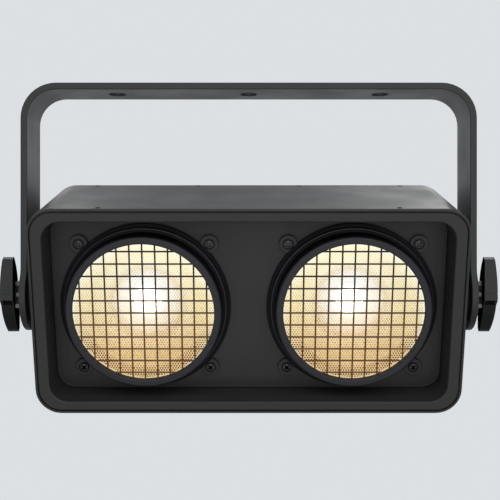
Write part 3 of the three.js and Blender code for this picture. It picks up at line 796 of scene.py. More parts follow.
@dataclass(frozen=True)
class Faced(Coated):
    """Coat that keeps its sheen on the front face, with matt walls behind it darkened by painted shade."""

    face: float = -34.6
    fade: float = 1.0
    step: float = -19.6
    step_radius: float = 71.0
    flange: float = 75.5
    side_share: float = 0.25

    def draw(self, sheet: NodeSheet, point: bpy.types.NodeSocket) -> None:
        """Draws the coat's nodes, and behind the front face dulls them and darkens them with painted shade,
        but for the step's rim and ears.

        Args:
            sheet: the material.
            point: the point on the piece, in millimetres.
        """
        super().draw(sheet, point)
        depth, radius = sheet.part(point, "Y"), sheet.radius(point)
        rim = sheet.math("GREATER_THAN", radius, self.step_radius)
        rim = sheet.product(rim, sheet.math("LESS_THAN", depth, self.step))
        ears = sheet.math("GREATER_THAN", radius, self.flange + SEAT)
        # Painted shade: full colour and gloss on the front face, falling to a small share of both just behind
        # it
        unshaded_satin = sheet.range(depth, self.face, self.face + self.fade, 1.0, self.side_share)
        unshaded_satin = sheet.math("MAXIMUM", unshaded_satin, sheet.math("MAXIMUM", rim, ears))
        sheet.set(
            Base_Color=sheet.dimmed(sheet.fed("Base Color"), unshaded_satin),
            Specular_IOR_Level=sheet.product(unshaded_satin, self.gloss),
        )


@dataclass(frozen=True)
class Moulded(Finish):
    """Moulded plastic or rubber with a spark-eroded grain."""

    roughness: float = 0.5
    grain: float = 0.35
    depth: float = 0.02
    gloss: float = 0.45
    cloud: float = 14.0
    grain_detail: float = 3.0
    grain_span: Span = (0.3, 0.7)
    tint_change: float = 0.12
    rough_change: float = 0.06

    def draw(self, sheet: NodeSheet, point: bpy.types.NodeSocket) -> None:
        """Draws the plastic's nodes.

        Args:
            sheet: the material.
            point: the point on the piece, in millimetres.
        """
        cloud = sheet.noise(point, self.cloud)
        grain = sheet.noise(point, self.grain, self.grain_detail)
        dark, light = (scaled(self.colour, 1 + way * self.tint_change) for way in (-1, 1))
        ends = (self.roughness - self.rough_change, self.roughness + self.rough_change)
        sheet.set(
            Base_Color=sheet.mix(cloud, dark, light),
            Roughness=sheet.range(grain, *self.grain_span, *ends),
            Specular_IOR_Level=self.gloss,
        )
        sheet.relief(grain, self.depth)


@dataclass(frozen=True)
class Grip(Moulded):
    """Moulded hand knob: matt and darkened with painted shade on the face towards the light, matt in front,
    polished on its tips' chamfers.
    """

    axis: float = -186.6
    inner_span: Span = (210.0, 210.3)
    front_span: Span = (7.0, 10.0)
    tip_span: Span = (31.7, 32.1)
    matt_share: float = 0.3
    polish: float = 7.0

    def draw(self, sheet: NodeSheet, point: bpy.types.NodeSocket) -> None:
        """Draws the plastic's nodes, then dulls the inner face and the front, darkens the inner face with
        painted shade, and polishes the tips.

        Args:
            sheet: the material.
            point: the point on the piece, in millimetres.
        """
        super().draw(sheet, point)
        across, deep = (sheet.math("ABSOLUTE", sheet.part(point, letter)) for letter in "XY")
        outside = sheet.range(across, *self.inner_span)
        front = sheet.range(deep, *self.front_span, self.matt_share, 1.0)
        polish = sheet.range(sheet.off(sheet.part(point, "Z"), self.axis), *self.tip_span, 1.0, self.polish)
        # Painted shade: everything nearer the middle than the knob's inner face, which faces the yoke across
        # a narrow gap, is darkened and loses its gloss
        tone = sheet.range(outside, 0.0, 1.0, self.matt_share, 1.0)
        sheet.set(
            Base_Color=sheet.dimmed(sheet.fed("Base Color"), tone),
            Specular_IOR_Level=sheet.product(outside, front, polish, self.gloss),
            Roughness=sheet.math("DIVIDE", sheet.fed("Roughness"), sheet.math("SQRT", polish)),
        )


@dataclass(frozen=True)
class Bare(Finish):
    """Bare or plated metal with fine lines along one direction."""

    roughness: float = 0.32
    line: float = 0.15
    stretch: Size = (1, 1, 40)
    depth: float = 0.008
    cloud: float = 9.0
    detail: float = 3.0
    line_span: Span = (0.3, 0.7)
    dull_share: float = 0.8
    smoother: float = 0.08
    rougher: float = 0.1

    def draw(self, sheet: NodeSheet, point: bpy.types.NodeSocket) -> None:
        """Draws the metal's nodes.

        Args:
            sheet: the material.
            point: the point on the piece, in millimetres.
        """
        lines = sheet.noise(point, self.line, self.detail, self.stretch)
        cloud = sheet.noise(point, self.cloud, self.detail)
        ends = (self.roughness - self.smoother, self.roughness + self.rougher)
        sheet.set(
            Base_Color=sheet.mix(cloud, scaled(self.colour, self.dull_share), self.colour),
            Roughness=sheet.range(lines, *self.line_span, *ends),
            Metallic=1.0,
        )
        sheet.relief(lines, self.depth)


@dataclass(frozen=True)
class Acrylic(Finish):
    """Dark glossy acrylic with a faint haze of handling."""

    haze: float = 6.0
    haze_detail: float = 4.0
    haze_span: Span = (0.3, 0.8)
    haze_tint: float = 1.6
    roughness: Span = (0.06, 0.2)

    def draw(self, sheet: NodeSheet, point: bpy.types.NodeSocket) -> None:
        """Draws the acrylic's nodes.

        Args:
            sheet: the material.
            point: the point on the piece, in millimetres.
        """
        haze = sheet.noise(point, self.haze, self.haze_detail)
        sheet.set(
            Base_Color=sheet.mix(haze, self.colour, scaled(self.colour, self.haze_tint)),
            Roughness=sheet.range(haze, *self.haze_span, *self.roughness),
        )


@dataclass(frozen=True)
class Lacquer(Finish):
    """Green solder lacquer over copper tracks."""

    track: float = 2.2
    track_tint: float = 1.7
    track_height: float = 0.05
    roughness: float = 0.35

    def draw(self, sheet: NodeSheet, point: bpy.types.NodeSocket) -> None:
        """Draws the lacquer's nodes.

        Args:
            sheet: the material.
            point: the point on the piece, in millimetres.
        """
        flat = sheet.vector("DIVIDE", point, (self.track, self.track, self.track))
        node = sheet.node("ShaderNodeTexBrick", [flat])
        node.inputs["Scale"].default_value = 1.0
        tracks = node.outputs["Fac"]
        lit = scaled(self.colour, self.track_tint)
        sheet.set(Base_Color=sheet.mix(tracks, self.colour, lit), Roughness=self.roughness)
        sheet.relief(tracks, self.track_height)


@dataclass(frozen=True)
class LampGlass(Finish):
    """Clear lamp glass with a fine honeycomb of dark pips in its back face, boldest along the lower rim."""

    back: float = -28.0
    pitch: float = 2.3
    pip: float = 0.6
    fade: float = 0.45
    pip_colour: Colour = (0.03, 0.012, 0.002)
    plain_edge: float = 62.2
    bold_radii: Span = (47.0, 55.0)
    bold_heights: Span = (5.0, -35.0)
    faint_radii: Span = (10.0, 26.0)
    faint_shares: Span = (0.12, 0.6)
    faint_heights: Span = (50.0, -20.0)
    height_shares: Span = (0.3, 1.0)
    ring: float = 32.0
    ring_fade: Span = (5.0, 1.5)
    ring_heights: Span = (25.0, -10.0)
    ring_share: float = 0.75
    patch: float = 2.6
    patch_span: Span = (0.4, 0.6)
    patch_shares: Span = (0.55, 1.0)
    roughness: float = 0.02
    bending: float = 1.2

    def draw(self, sheet: NodeSheet, point: bpy.types.NodeSocket) -> None:
        """Draws the glass's nodes.

        Args:
            sheet: the material.
            point: the point on the piece, in millimetres.
        """
        near = honeycomb(sheet, point, self.pitch)
        pip = sheet.range(near, self.pip, self.pip + self.fade, 1.0, 0.0, smooth=True)
        radius, height = sheet.radius(point), sheet.part(point, "Z")
        bold = sheet.product(
            sheet.range(radius, *self.bold_radii, smooth=True),
            sheet.range(height, *self.bold_heights, smooth=True),
        )
        faint = sheet.product(
            sheet.range(radius, *self.faint_radii, *self.faint_shares),
            sheet.range(height, *self.faint_heights, *self.height_shares),
        )
        ring = sheet.product(
            sheet.range(sheet.off(radius, self.ring), *self.ring_fade),
            sheet.range(height, *self.ring_heights, 0.0, self.ring_share),
        )
        patch = sheet.range(sheet.noise(point, self.patch), *self.patch_span, *self.patch_shares)
        share = sheet.math("MAXIMUM", sheet.product(patch, sheet.math("MAXIMUM", faint, ring)), bold)
        inside = sheet.math("LESS_THAN", radius, self.plain_edge)
        on_back = sheet.math("GREATER_THAN", sheet.part(point, "Y"), self.back)
        sheet.set(
            Base_Color=sheet.mix(sheet.product(pip, share, inside, on_back), self.colour, self.pip_colour),
            Roughness=self.roughness,
            IOR=self.bending,
            Transmission_Weight=1.0,
        )


def honeycomb(sheet: NodeSheet, point: bpy.types.NodeSocket, pitch: float) -> bpy.types.NodeSocket:
    """Measures how far a point is from the nearest centre of a honeycomb across Y.

    Args:
        sheet: the material.
        point: the point in millimetres.
        pitch: distance from one centre to the next.

    Returns:
        The distance in millimetres.
    """
    cell = (pitch, 1, pitch * math.sqrt(3))
    near = []
    for shift in (0.0, 0.5):
        moved = sheet.vector("ADD", sheet.vector("DIVIDE", point, cell), (shift, 0, shift))
        local = sheet.vector("SUBTRACT", sheet.vector("FRACTION", moved), (0.5, 0, 0.5))
        near.append(sheet.vector("LENGTH", sheet.vector("MULTIPLY", local, (cell[0], 0, cell[2]))))
    return sheet.math("MINIMUM", *near)


@dataclass(frozen=True)
class Glowing(Finish):
    """Inside of the lit lamp: white round the light source, creamy farther out and warmer lower down. The
    emitter's glow is the lamp's own light; on the bowl and the holder the glow is painted light, and so is
    the warmth lower down.
    """

    metal: float = 0.0
    roughness: float = 0.5
    ripple: float = 5.0
    ripple_height: float = 0.25
    rim: float = 64.0
    power: float = 1.0
    glow: tuple[tuple[float, Colour], ...] = (
        (0.0, (1.5, 1.47, 1.4)),
        (13.0, (1.4, 1.37, 1.3)),
        (17.0, (0.95, 0.93, 0.88)),
        (25.0, (0.93, 0.89, 0.78)),
        (32.0, (0.80, 0.68, 0.45)),
        (38.0, (0.90, 0.81, 0.54)),
        (48.0, (0.82, 0.72, 0.43)),
        (58.0, (0.86, 0.78, 0.52)),
        (60.5, (0.90, 0.84, 0.60)),
        (62.0, (1.0, 1.06, 0.86)),
    )
    tint_height: float = 45.0
    tints: tuple[tuple[float, Colour], ...] = (
        (0.0, (0.74, 0.545, 0.38)),
        (0.5, (0.91, 0.89, 0.85)),
        (1.0, (0.98, 1.05, 1.25)),
    )

    def draw(self, sheet: NodeSheet, point: bpy.types.NodeSocket) -> None:
        """Draws the glow's nodes.

        Args:
            sheet: the material.
            point: the point on the piece, in millimetres.
        """
        # Painted light: the glow's colour by radius, made warmer lower down
        stops = [(where / self.rim, colour) for where, colour in self.glow]
        glow = sheet.ramp(sheet.math("DIVIDE", sheet.radius(point), self.rim), stops)
        height = sheet.range(sheet.part(point, "Z"), -self.tint_height, self.tint_height)
        tint = sheet.ramp(height, self.tints)
        sheet.set(
            Base_Color=self.colour,
            Metallic=self.metal,
            Roughness=self.roughness,
            Emission_Color=sheet.mix(1.0, glow, tint, "MULTIPLY"),
            Emission_Strength=self.power,
        )
        sheet.relief(sheet.noise(point, self.ripple, 1.0), self.ripple_height)


@dataclass(frozen=True)
class Finishes:
    """All finishes of the light, each named for what wears it."""

    strip: Finish = Coated("black_paint", (0.0195, 0.0195, 0.0195), roughness=0.46, gloss=0.36)
    sheet: Finish = Coated("coated_sheet", (0.0335, 0.0330, 0.0325), roughness=0.52, gloss=0.23)
    # Painted shade: the trim ring's walls behind its face, deep in the recess, are darkened
    casting: Finish = Faced(
        "dark_cast", (0.0205, 0.0205, 0.0250), roughness=0.42, grain=0.7, depth=0.035, gloss=0.24
    )
    can: Finish = Coated("dark_cast", (0.030, 0.030, 0.036), "_can")
    # Painted light: the wires glow warm in the lamp's lower half
    wire: Finish = Warmed("black_wire", (0.006, 0.006, 0.006), roughness=0.5, grain=0.3)
    screw: Finish = Coated("black_screw", (0.014, 0.014, 0.015), roughness=0.36, grain=0.25, gloss=0.5)
    case_screw: Finish = Coated("black_screw", (0.005, 0.005, 0.005), "_case", roughness=0.6, gloss=0.12)
    # Painted shade: the cross screws are darkened to black behind the top of their domed head, in the cross
    # and round the head's rim
    cross_screw: Finish = Faced(
        "black_screw", (0.026, 0.026, 0.027), "_cross", roughness=0.4, grain=0.25, gloss=0.4,
        face=-1.9, side_share=0.0,
    )
    rubber: Finish = Moulded("black_rubber", (0.008, 0.008, 0.008), roughness=0.75, gloss=0.3)
    # Painted shade: the knob's inner face is darkened, and the keys, inserts and display module that share
    # this finish are darkened all over
    knob: Finish = Grip("black_plastic", (0.0142, 0.0142, 0.0145), roughness=0.42, grain=0.3, gloss=0.31)
    steel: Finish = Bare("bright_steel", (0.50, 0.50, 0.51))
    washer: Finish = Bare("bright_steel", (0.10, 0.10, 0.102), "_dull", roughness=0.4)
    stud: Finish = Bare("bright_steel", (0.17, 0.17, 0.175), "_oiled", roughness=0.45)
    zinc: Finish = Bare("zinc", (0.32, 0.325, 0.335), roughness=0.38)
    sink: Finish = Bare("black_aluminium", (0.035, 0.035, 0.037), roughness=0.42, line=0.25)
    case: Finish = Bare("bare_aluminium", (0.48, 0.49, 0.5), roughness=0.4)
    glass: Finish = LampGlass("warm_glass", (1.0, 1.0, 1.0))
    # Painted light: the bowl and the holder glow as if lit by the emitter, whose own glow is the lamp's light
    bowl: Finish = Glowing("warm_mirror", (0.30, 0.26, 0.17), metal=1.0)
    source: Finish = Glowing("led_yellow", (0.9, 0.7, 0.25), power=2.0)
    holder: Finish = Glowing("white_plastic", (0.3, 0.29, 0.27))
    window: Finish = Acrylic("smoked_window", (0.008, 0.010, 0.012))
    board: Finish = Lacquer("green_board", (0.02, 0.11, 0.06))
    inlet: Finish = Moulded("blue_plastic", (0.03, 0.12, 0.38))
    outlet: Finish = Moulded("grey_plastic", (0.26, 0.27, 0.28))


# Placing


@dataclass(frozen=True)
class Layout:
    """Where the housing, the lamps and the tilt axis lie, and the levels from front to back."""

    drop: float = 186.6
    tilt_degrees: float = 14.6
    housing_below: float = 3.9
    housing_width: float = 373.0
    housing_height: float = 183.0
    housing_corner: float = 22.0
    wall: float = 2.4
    lamp_pitch: float = 182.8
    lamp_below: float = 2.4
    ear_reach: float = 57.0
    ear_bore: float = 2.3
    yoke_inner: float = 194.0
    yoke_outer: float = 200.0
    face: float = -47.0
    sleeve: float = -46.6
    panel: float = -13.8
    panel_back: float = -10.8
    rear: float = 74.0
    plate: float = 74.3
    plate_back: float = 76.3

    @property
    def casing(self) -> Size:
        """Width, height and corner radius of the housing."""
        return self.housing_width, self.housing_height, self.housing_corner

    @property
    def head(self) -> Matrix:
        """The place of what tilts, about the tilt axis."""
        lower = Matrix.Translation((0, 0, -self.drop))
        return METRES @ lower @ Matrix.Rotation(math.radians(self.tilt_degrees), 4, "X")

    @property
    def housing(self) -> Matrix:
        """The place of the housing, about its own middle."""
        return self.head @ Matrix.Translation((0, 0, -self.housing_below))

    def lamp(self, side: Side) -> Matrix:
        """The place of one lamp about its own axis."""
        return self.housing @ Matrix.Translation((side.value * self.lamp_pitch / 2, 0, -self.lamp_below))


@dataclass
class Workshop:
    """Dresses shapes and puts them in their places."""

    layout: Layout
    finishes: Finishes
    made: list[str] = field(default_factory=list)

    def settle(
        self,
        mesh: bmesh.types.BMesh,
        name: str,
        place: Matrix,
        finish: Finish,
        replaces: Sequence[str] = (),
        edge: float = 0.0,
        edge_steps: int = PLAIN_STEPS,
        body: str = "head",
        own_axes: bool = False,
    ) -> None:
        """Makes a piece of a shape.

        Args:
            mesh: the shape in millimetres about its own axes, which is used up.
            name: the piece's name.
            place: where it goes.
            finish: what it wears.
            replaces: the plain solids that it stands for.
            edge: how far sharp edges are rounded, in millimetres.
            edge_steps: facets across such an edge.
            body: the moving body that it rides on.
            own_axes: whether the finish's pattern follows the piece's own axes.
        """
        mesh.transform(place)
        piece = loose_object(name, mesh)
        bpy.context.scene.collection.objects.link(piece)
        piece.data.materials.append(finish.material(place if own_axes else None))
        piece.data.shade_smooth()
        if edge:
            bevel = piece.modifiers.new("edges", "BEVEL")
            bevel.width = edge * MM
            bevel.segments = edge_steps
            bevel.limit_method = "ANGLE"
            bevel.angle_limit = math.radians(ROUNDED_FROM)
            weigh = piece.modifiers.new("shading", "WEIGHTED_NORMAL")
            weigh.keep_sharp = True
        else:
            piece.data.set_sharp_from_angle(angle=math.radians(SHARP_FROM))
        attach(piece, body)
        if replaces:
            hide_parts(*replaces)
        self.made.append(name)
        LOG.info("%s rides on %s", name, body)

    def carry_over(self, nodes: Iterable[str], finish: Finish) -> None:
        """Gives plain solids that stay a finish.

        Args:
            nodes: their names.
            finish: what they wear.
        """
        for node in nodes:
            slots = bpy.data.objects[node].data.materials
            slots.clear()
            slots.append(finish.material())
            LOG.info("%s is carried over", node)


# The light's sub-assemblies


@dataclass
class Yoke:
    """The flat strip that the light hangs in, bent round the housing."""

    strap: float = 50.0
    thick: float = 6.0
    bend: float = 31.0
    end_swell: float = 7.0
    neck: float = 16.0
    bolt_hole: float = 7.5
    bolt_pitch: float = 118.5
    stud_hole: float = 5.5
    edge: float = 0.9

    def arch(self, layout: Layout) -> bmesh.types.BMesh:
        """Draws the bent strip from the front and pushes it deep enough for its round ends.

        Args:
            layout: where the main parts lie.

        Returns:
            The bent strip, as deep as its round ends.
        """
        outer, inner = layout.yoke_outer, layout.yoke_inner
        foot = -layout.drop - self.strap
        middle = outer - self.bend
        pen = Pen(outer, foot).line(outer, -self.bend).arc(middle, -self.bend, 90)
        pen.line(-middle, 0).arc(-middle, -self.bend, 90).lines([(-outer, foot), (-inner, foot)])
        pen.line(-inner, -self.bend).arc(-middle, -self.bend, -90)
        pen.line(middle, -self.thick).arc(middle, -self.bend, -90).line(inner, foot)
        return pushed(pen.sheet(), -self.strap, self.strap)

    def leg(self, layout: Layout) -> bmesh.types.BMesh:
        """Draws the strip from the side, with a neck and a round end, and pushes it across.

        Args:
            layout: where the main parts lie.

        Returns:
            The strip's outline from the side, as wide as the yoke.
        """
        half = self.strap / 2
        radius = half + self.end_swell
        reach = half + self.neck
        rise = math.sqrt((radius + self.neck) ** 2 - reach**2)
        touch = math.degrees(math.atan2(rise, reach))
        level = rise - layout.drop
        pen = Pen(half, OVERRUN).line(half, level).arc(reach, level, touch)
        pen.arc(0, -layout.drop, -180 - 2 * touch, ROUND).arc(-reach, level, touch).line(-half, OVERRUN)
        wide = layout.yoke_outer + OVERRUN
        return pushed(pen.sheet(), -wide, wide, Axis.X)

    def build(self, shop: Workshop) -> None:
        """Bends, drills and dresses the strip.

        Args:
            shop: what dresses the pieces and knows the layout.
        """
        layout = shop.layout
        strip = worked(self.arch(layout), [self.leg(layout)], Joinery.MEET)
        wide = layout.yoke_outer + OVERRUN
        drills = [shifted(rod(self.stud_hole, -wide, wide, SMALL, Axis.X), z=-layout.drop)]
        for place in (-self.bolt_pitch, 0.0, self.bolt_pitch):
            drill = rod(self.bolt_hole, -self.thick - OVERRUN, OVERRUN, SMALL, Axis.Z)
            drills.append(shifted(drill, x=place))
        shop.settle(
            worked(strip, drills), "yoke_strip", METRES, shop.finishes.strip, ["yoke"], self.edge,
            BROAD_STEPS, "yoke",
        )


@dataclass(frozen=True)
class Screw:
    """A small screw with a domed head and a cross recess, its axis along Y and its head to the front."""

    head: float = 3.8
    rise: float = 2.4
    crown: float = 1.1
    crown_run: float = 1.0
    shank: float = 2.0
    length: float = 8.0
    slot: float = 1.4
    slot_depth: float = 2.2
    flute: float = 5.2

    def shape(self) -> bmesh.types.BMesh:
        """Turns the head and shank, and sinks the cross.

        Returns:
            The screw.
        """
        round_off = self.crown / 3
        pen = Pen(0, -self.rise).lines([
            (self.head - self.crown - self.crown_run, -self.rise),
            (self.head - round_off, round_off - self.rise), (self.head, self.crown - self.rise),
            (self.head, 0), (self.shank, 0), (self.shank, self.length), (0, self.length),
        ])
        bars = []
        for degrees in (45, -45):
            bar = block(self.flute, self.slot_depth * 2, self.slot)
            bar.transform(Matrix.Rotation(math.radians(degrees), 4, "Y"))
            bars.append(shifted(bar, y=-self.rise))
        return worked(turned(pen.mesh, SMALL), bars)

    def row(self, places: Iterable[Matrix]) -> bmesh.types.BMesh:
        """Makes several screws in one mesh.

        Args:
            places: the place of each screw.

        Returns:
            The mesh.
        """
        made = []
        for place in places:
            mesh = self.shape()
            mesh.transform(place)
            made.append(mesh)
        return gathered(made)


@dataclass
class Housing:
    """The wrapped sleeve, the bezel that is set into its front and the plate at the bottom of the recess."""

    edge: float = 0.7
    rim_radius: float = 1.5
    neck_hole: float = 14.3
    bezel_radius: float = 0.8
    shadow_gap: float = 1.1
    face_thick: float = 3.0
    opening: Size = (347.4, 160.5, 16.0)
    lining: float = 2.2
    skirt: float = 14.0
    skirt_grip: float = 0.6
    open_radius: float = 1.4
    plate_gap: float = 0.5
    plate_step: float = 1.4
    ridge_width: float = 1.5
    ridge_height: float = 0.7
    ridge_radius: float = 0.6
    rear_screws: tuple[float, ...] = (-143.9, -47.9, 47.9, 143.9)
    front_screws: tuple[float, ...] = (-126.0, 126.0)
    screw_margin: float = 5.5
    case_screw: Screw = Screw(
        head=2.3, rise=0.3, crown=0.25, shank=1.5, length=4.0, slot=0.8, slot_depth=0.25, flute=3.0
    )
    lamp_hole: float = 65.0

    def build(self, shop: Workshop) -> None:
        """Builds and dresses the sleeve, its screws, the bezel and the lamp plate.

        Args:
            shop: what dresses the pieces and knows the layout.
        """
        layout, finish = shop.layout, shop.finishes.sheet
        place, rounding = layout.housing, (self.edge, BROAD_STEPS)
        shop.settle(self.sleeve(layout), "case_sleeve", place, finish, ["housing_sleeve"], *rounding)
        shop.settle(self.bezel(layout), "case_bezel", place, finish, ["front_frame"], *rounding)
        shop.settle(self.lamp_plate(layout), "lamp_plate", place, finish, ["front_panel"], CRISP_EDGE)
        shop.settle(self.case_screws(layout), "case_screws", place, shop.finishes.case_screw, edge=SMALL_EDGE)

    def sleeve(self, layout: Layout) -> bmesh.types.BMesh:
        """Wraps the sheet into a sleeve with a hole on each side for the tilt boss.

        Args:
            layout: where the main parts lie.

        Returns:
            The sleeve.
        """
        shell = softened(slab(*layout.casing, layout.sleeve, layout.rear), layout.sleeve, self.rim_radius)
        softened(shell, layout.rear, self.rim_radius)
        bore = slab(*layout.casing, layout.sleeve - OVERRUN, layout.rear + OVERRUN, layout.wall)
        wide = layout.housing_width
        necks = shifted(rod(self.neck_hole, -wide, wide, SMALL, Axis.X), z=layout.housing_below)
        return worked(shell, [bore, necks])

    def bezel(self, layout: Layout) -> bmesh.types.BMesh:
        """Makes the bezel's face, its skirt in the sleeve and the lining of the recess.

        Args:
            layout: where the main parts lie.

        Returns:
            The bezel.
        """
        back = layout.face + self.face_thick
        face = slab(*layout.casing, layout.face, back, layout.wall + self.shadow_gap)
        softened(face, layout.face, self.bezel_radius)
        grip = layout.wall + SEAT
        skirt = slab(*layout.casing, back - self.skirt_grip, back + self.skirt, grip)
        hollow = slab(*layout.casing, back, back + self.skirt + OVERRUN, grip + self.lining)
        lining_back = layout.panel + self.plate_step - SEAT
        lining = slab(*self.opening, layout.face + self.lining, lining_back, -self.lining)
        body = worked(worked(skirt, [hollow]), [face, lining], Joinery.JOIN)
        body = worked(body, [slab(*self.opening, layout.face - OVERRUN, lining_back + OVERRUN)])
        wide, high, _ = self.opening
        return softened(body, layout.face, self.open_radius, (wide / 2, high / 2))

    def lamp_plate(self, layout: Layout) -> bmesh.types.BMesh:
        """Cuts the plate that carries the lamps, with a low ridge round it inside the recess's lining.

        Args:
            layout: where the main parts lie.

        Returns:
            The plate.
        """
        level, top = layout.panel + self.plate_step, layout.panel - self.ridge_height
        base = slab(*self.opening, level, layout.panel_back, -self.lining)
        raised = slab(*self.opening, top, level + SEAT, self.plate_gap)
        field_cut = slab(*self.opening, top - OVERRUN, layout.panel, self.plate_gap + self.ridge_width)
        raised = softened(worked(raised, [field_cut]), top, self.ridge_radius)
        plate = worked(base, [raised], Joinery.JOIN)
        tools = []
        cut = (layout.panel - OVERRUN, layout.panel_back + OVERRUN)
        for side in Side:
            x = side.value * layout.lamp_pitch / 2
            tools.append(shifted(rod(self.lamp_hole, *cut, FINE), x=x, z=-layout.lamp_below))
            for across, up in corners(layout.ear_reach):
                bore = rod(layout.ear_bore, *cut, TINY)
                tools.append(shifted(bore, x=x + across, z=up - layout.lamp_below))
        return worked(plate, tools)

    def case_screws(self, layout: Layout) -> bmesh.types.BMesh:
        """Sets low screws into the top and the bottom of the sleeve.

        Args:
            layout: where the main parts lie.

        Returns:
            The screws in one mesh.
        """
        rows = [
            (layout.rear - self.screw_margin, self.rear_screws),
            (layout.sleeve + self.screw_margin, self.front_screws),
        ]
        places = []
        for upside in (-1, 1):
            turn = Matrix.Rotation(-upside * math.pi / 2, 4, "X")
            for depth, row in rows:
                for x in row:
                    spot = Matrix.Translation((x, depth, upside * layout.housing_height / 2))
                    places.append(spot @ turn)
        return self.case_screw.row(places)


@dataclass
class Lamp:
    """One lamp: cast trim ring, wire guard, glass, lit bowl and what carries them."""

    aperture: float = 61.4
    rim: float = 68.0
    step: float = 72.0
    flange: float = 75.5
    seat: float = 65.0
    front: float = -37.4
    lip: float = 3.5
    roll: float = 2.0
    roll_steps: int = 6
    nose: float = 1.2
    nose_steps: int = 5
    draft: float = 0.4
    step_chamfer: float = 0.8
    step_front: float = -20.8
    flange_front: float = -17.1
    flange_back: float = -14.1
    ear: float = 8.0
    counterbore: float = 4.75
    counter_depth: float = 1.7
    guard_front: float = -33.6
    guard_outer: float = 64.4
    guard_ring: float = 2.5
    guard_thick: float = 2.0
    wire: float = 1.5
    wire_steps: int = 10
    wire_sink: float = 0.55
    wire_pitch: float = 11.0
    level_drop: float = 0.9
    wires_each_side: int = 5
    seal_front: float = -31.3
    seal_thick: float = 1.5
    seal_wall: float = 2.4
    glass_front: float = -29.5
    glass_thick: float = 3.0
    glass_radius: float = 64.7
    bowl_front: float = -26.2
    bowl_back: float = 2.2
    bowl_rim: float = 60.2
    bowl_throat: float = 15.0
    bowl_wall: float = 1.2
    bowl_rings: int = 28
    bow_share: float = 0.55
    bowl_flange: float = 64.2
    bowl_flange_front: float = -26.42
    bowl_flange_thick: float = 0.14
    holder: float = 21.0
    holder_bore: float = 12.5
    holder_front: float = 2.5
    holder_back: float = 4.1
    source_front: float = 3.6
    source_radius: float = 11.0
    board: float = 28.0
    board_front: float = 4.4
    board_back: float = 6.0
    sink_front: float = 6.3
    sink_base: float = 8.0
    sink_back: float = 96.0
    sink_width: float = 106.0
    sink_height: float = 126.0
    fins: int = 11
    fin_thick: float = 2.2
    fin_edge: float = 0.6

    def build(self, shop: Workshop, side: Side) -> None:
        """Builds and dresses one lamp.

        Args:
            shop: what dresses the pieces and knows the layout.
            side: the side.
        """
        word, finishes = side.word, shop.finishes
        seal_bore, seal_back = self.glass_radius - self.seal_wall, self.seal_front + self.seal_thick
        glass = rod(self.glass_radius, self.glass_front, self.glass_front + self.glass_thick, FINE)
        holder = ring(self.holder, self.holder_bore, self.holder_front, self.holder_back)
        pieces = [
            ("lamp_ring", "trim_ring", self.trim_ring(shop.layout), finishes.casting, SOFT_EDGE,
             BROAD_STEPS, True),
            ("guard", "wire_guard", self.guard(), finishes.wire, 0, PLAIN_STEPS, True),
            ("seal", "lens_seal", ring(self.glass_radius, seal_bore, self.seal_front, seal_back),
             finishes.rubber, CRISP_EDGE, PLAIN_STEPS, False),
            ("glass", "lens_glass", glass, finishes.glass, PLAIN_EDGE, PLAIN_STEPS, True),
            ("bowl", "reflector", self.bowl(), finishes.bowl, 0, PLAIN_STEPS, True),
            ("holder", "led_holder", holder, finishes.holder, CRISP_EDGE, PLAIN_STEPS, True),
            ("source", "cob_led", self.source(), finishes.source, 0, PLAIN_STEPS, True),
            ("sink", "heat_sink", self.heat_sink(), finishes.sink, self.fin_edge, PLAIN_STEPS, False),
        ]
        for name, node, shape, finish, edge, steps, own_axes in pieces:
            shop.settle(
                shape, f"{name}_{word}", shop.layout.lamp(side), finish, [f"{node}_{word}"], edge, steps,
                own_axes=own_axes,
            )
        shop.carry_over([f"lamp_can_{word}"], finishes.can)
        self.screws(shop, side)

    def trim_ring(self, layout: Layout) -> bmesh.types.BMesh:
        """Turns the ring, joins its ears and sinks their screw seats.

        Args:
            layout: where the main parts lie.

        Returns:
            The ring.
        """
        nose, roll = self.front + self.nose, self.front + self.roll
        pen = Pen(self.aperture, nose).arc(self.aperture + self.nose, nose, 90, self.nose_steps)
        pen.line(self.rim - self.roll, self.front).arc(self.rim - self.roll, roll, 90, self.roll_steps)
        pen.lines([
            (self.rim + self.draft, self.step_front), (self.step, self.step_front + self.step_chamfer),
            (self.step, self.flange_front), (self.flange, self.flange_front), (self.flange, self.flange_back),
            (self.seat, self.flange_back), (self.seat, self.front + self.lip),
            (self.aperture, self.front + self.lip),
        ])
        ears, tools = [], [rod(self.seat, self.flange_front - OVERRUN, self.flange_back + OVERRUN, FINE)]
        floor = self.flange_front + self.counter_depth
        for x, z in corners(layout.ear_reach):
            ears.append(shifted(rod(self.ear, self.flange_front, self.flange_back), x=x, z=z))
            tools.append(shifted(rod(self.counterbore, self.flange_front - OVERRUN, floor), x=x, z=z))
            bore = rod(layout.ear_bore, self.flange_front, self.flange_back + OVERRUN)
            tools.append(shifted(bore, x=x, z=z))
        return worked(worked(turned(pen.closed(), FINE), ears, Joinery.JOIN), tools)

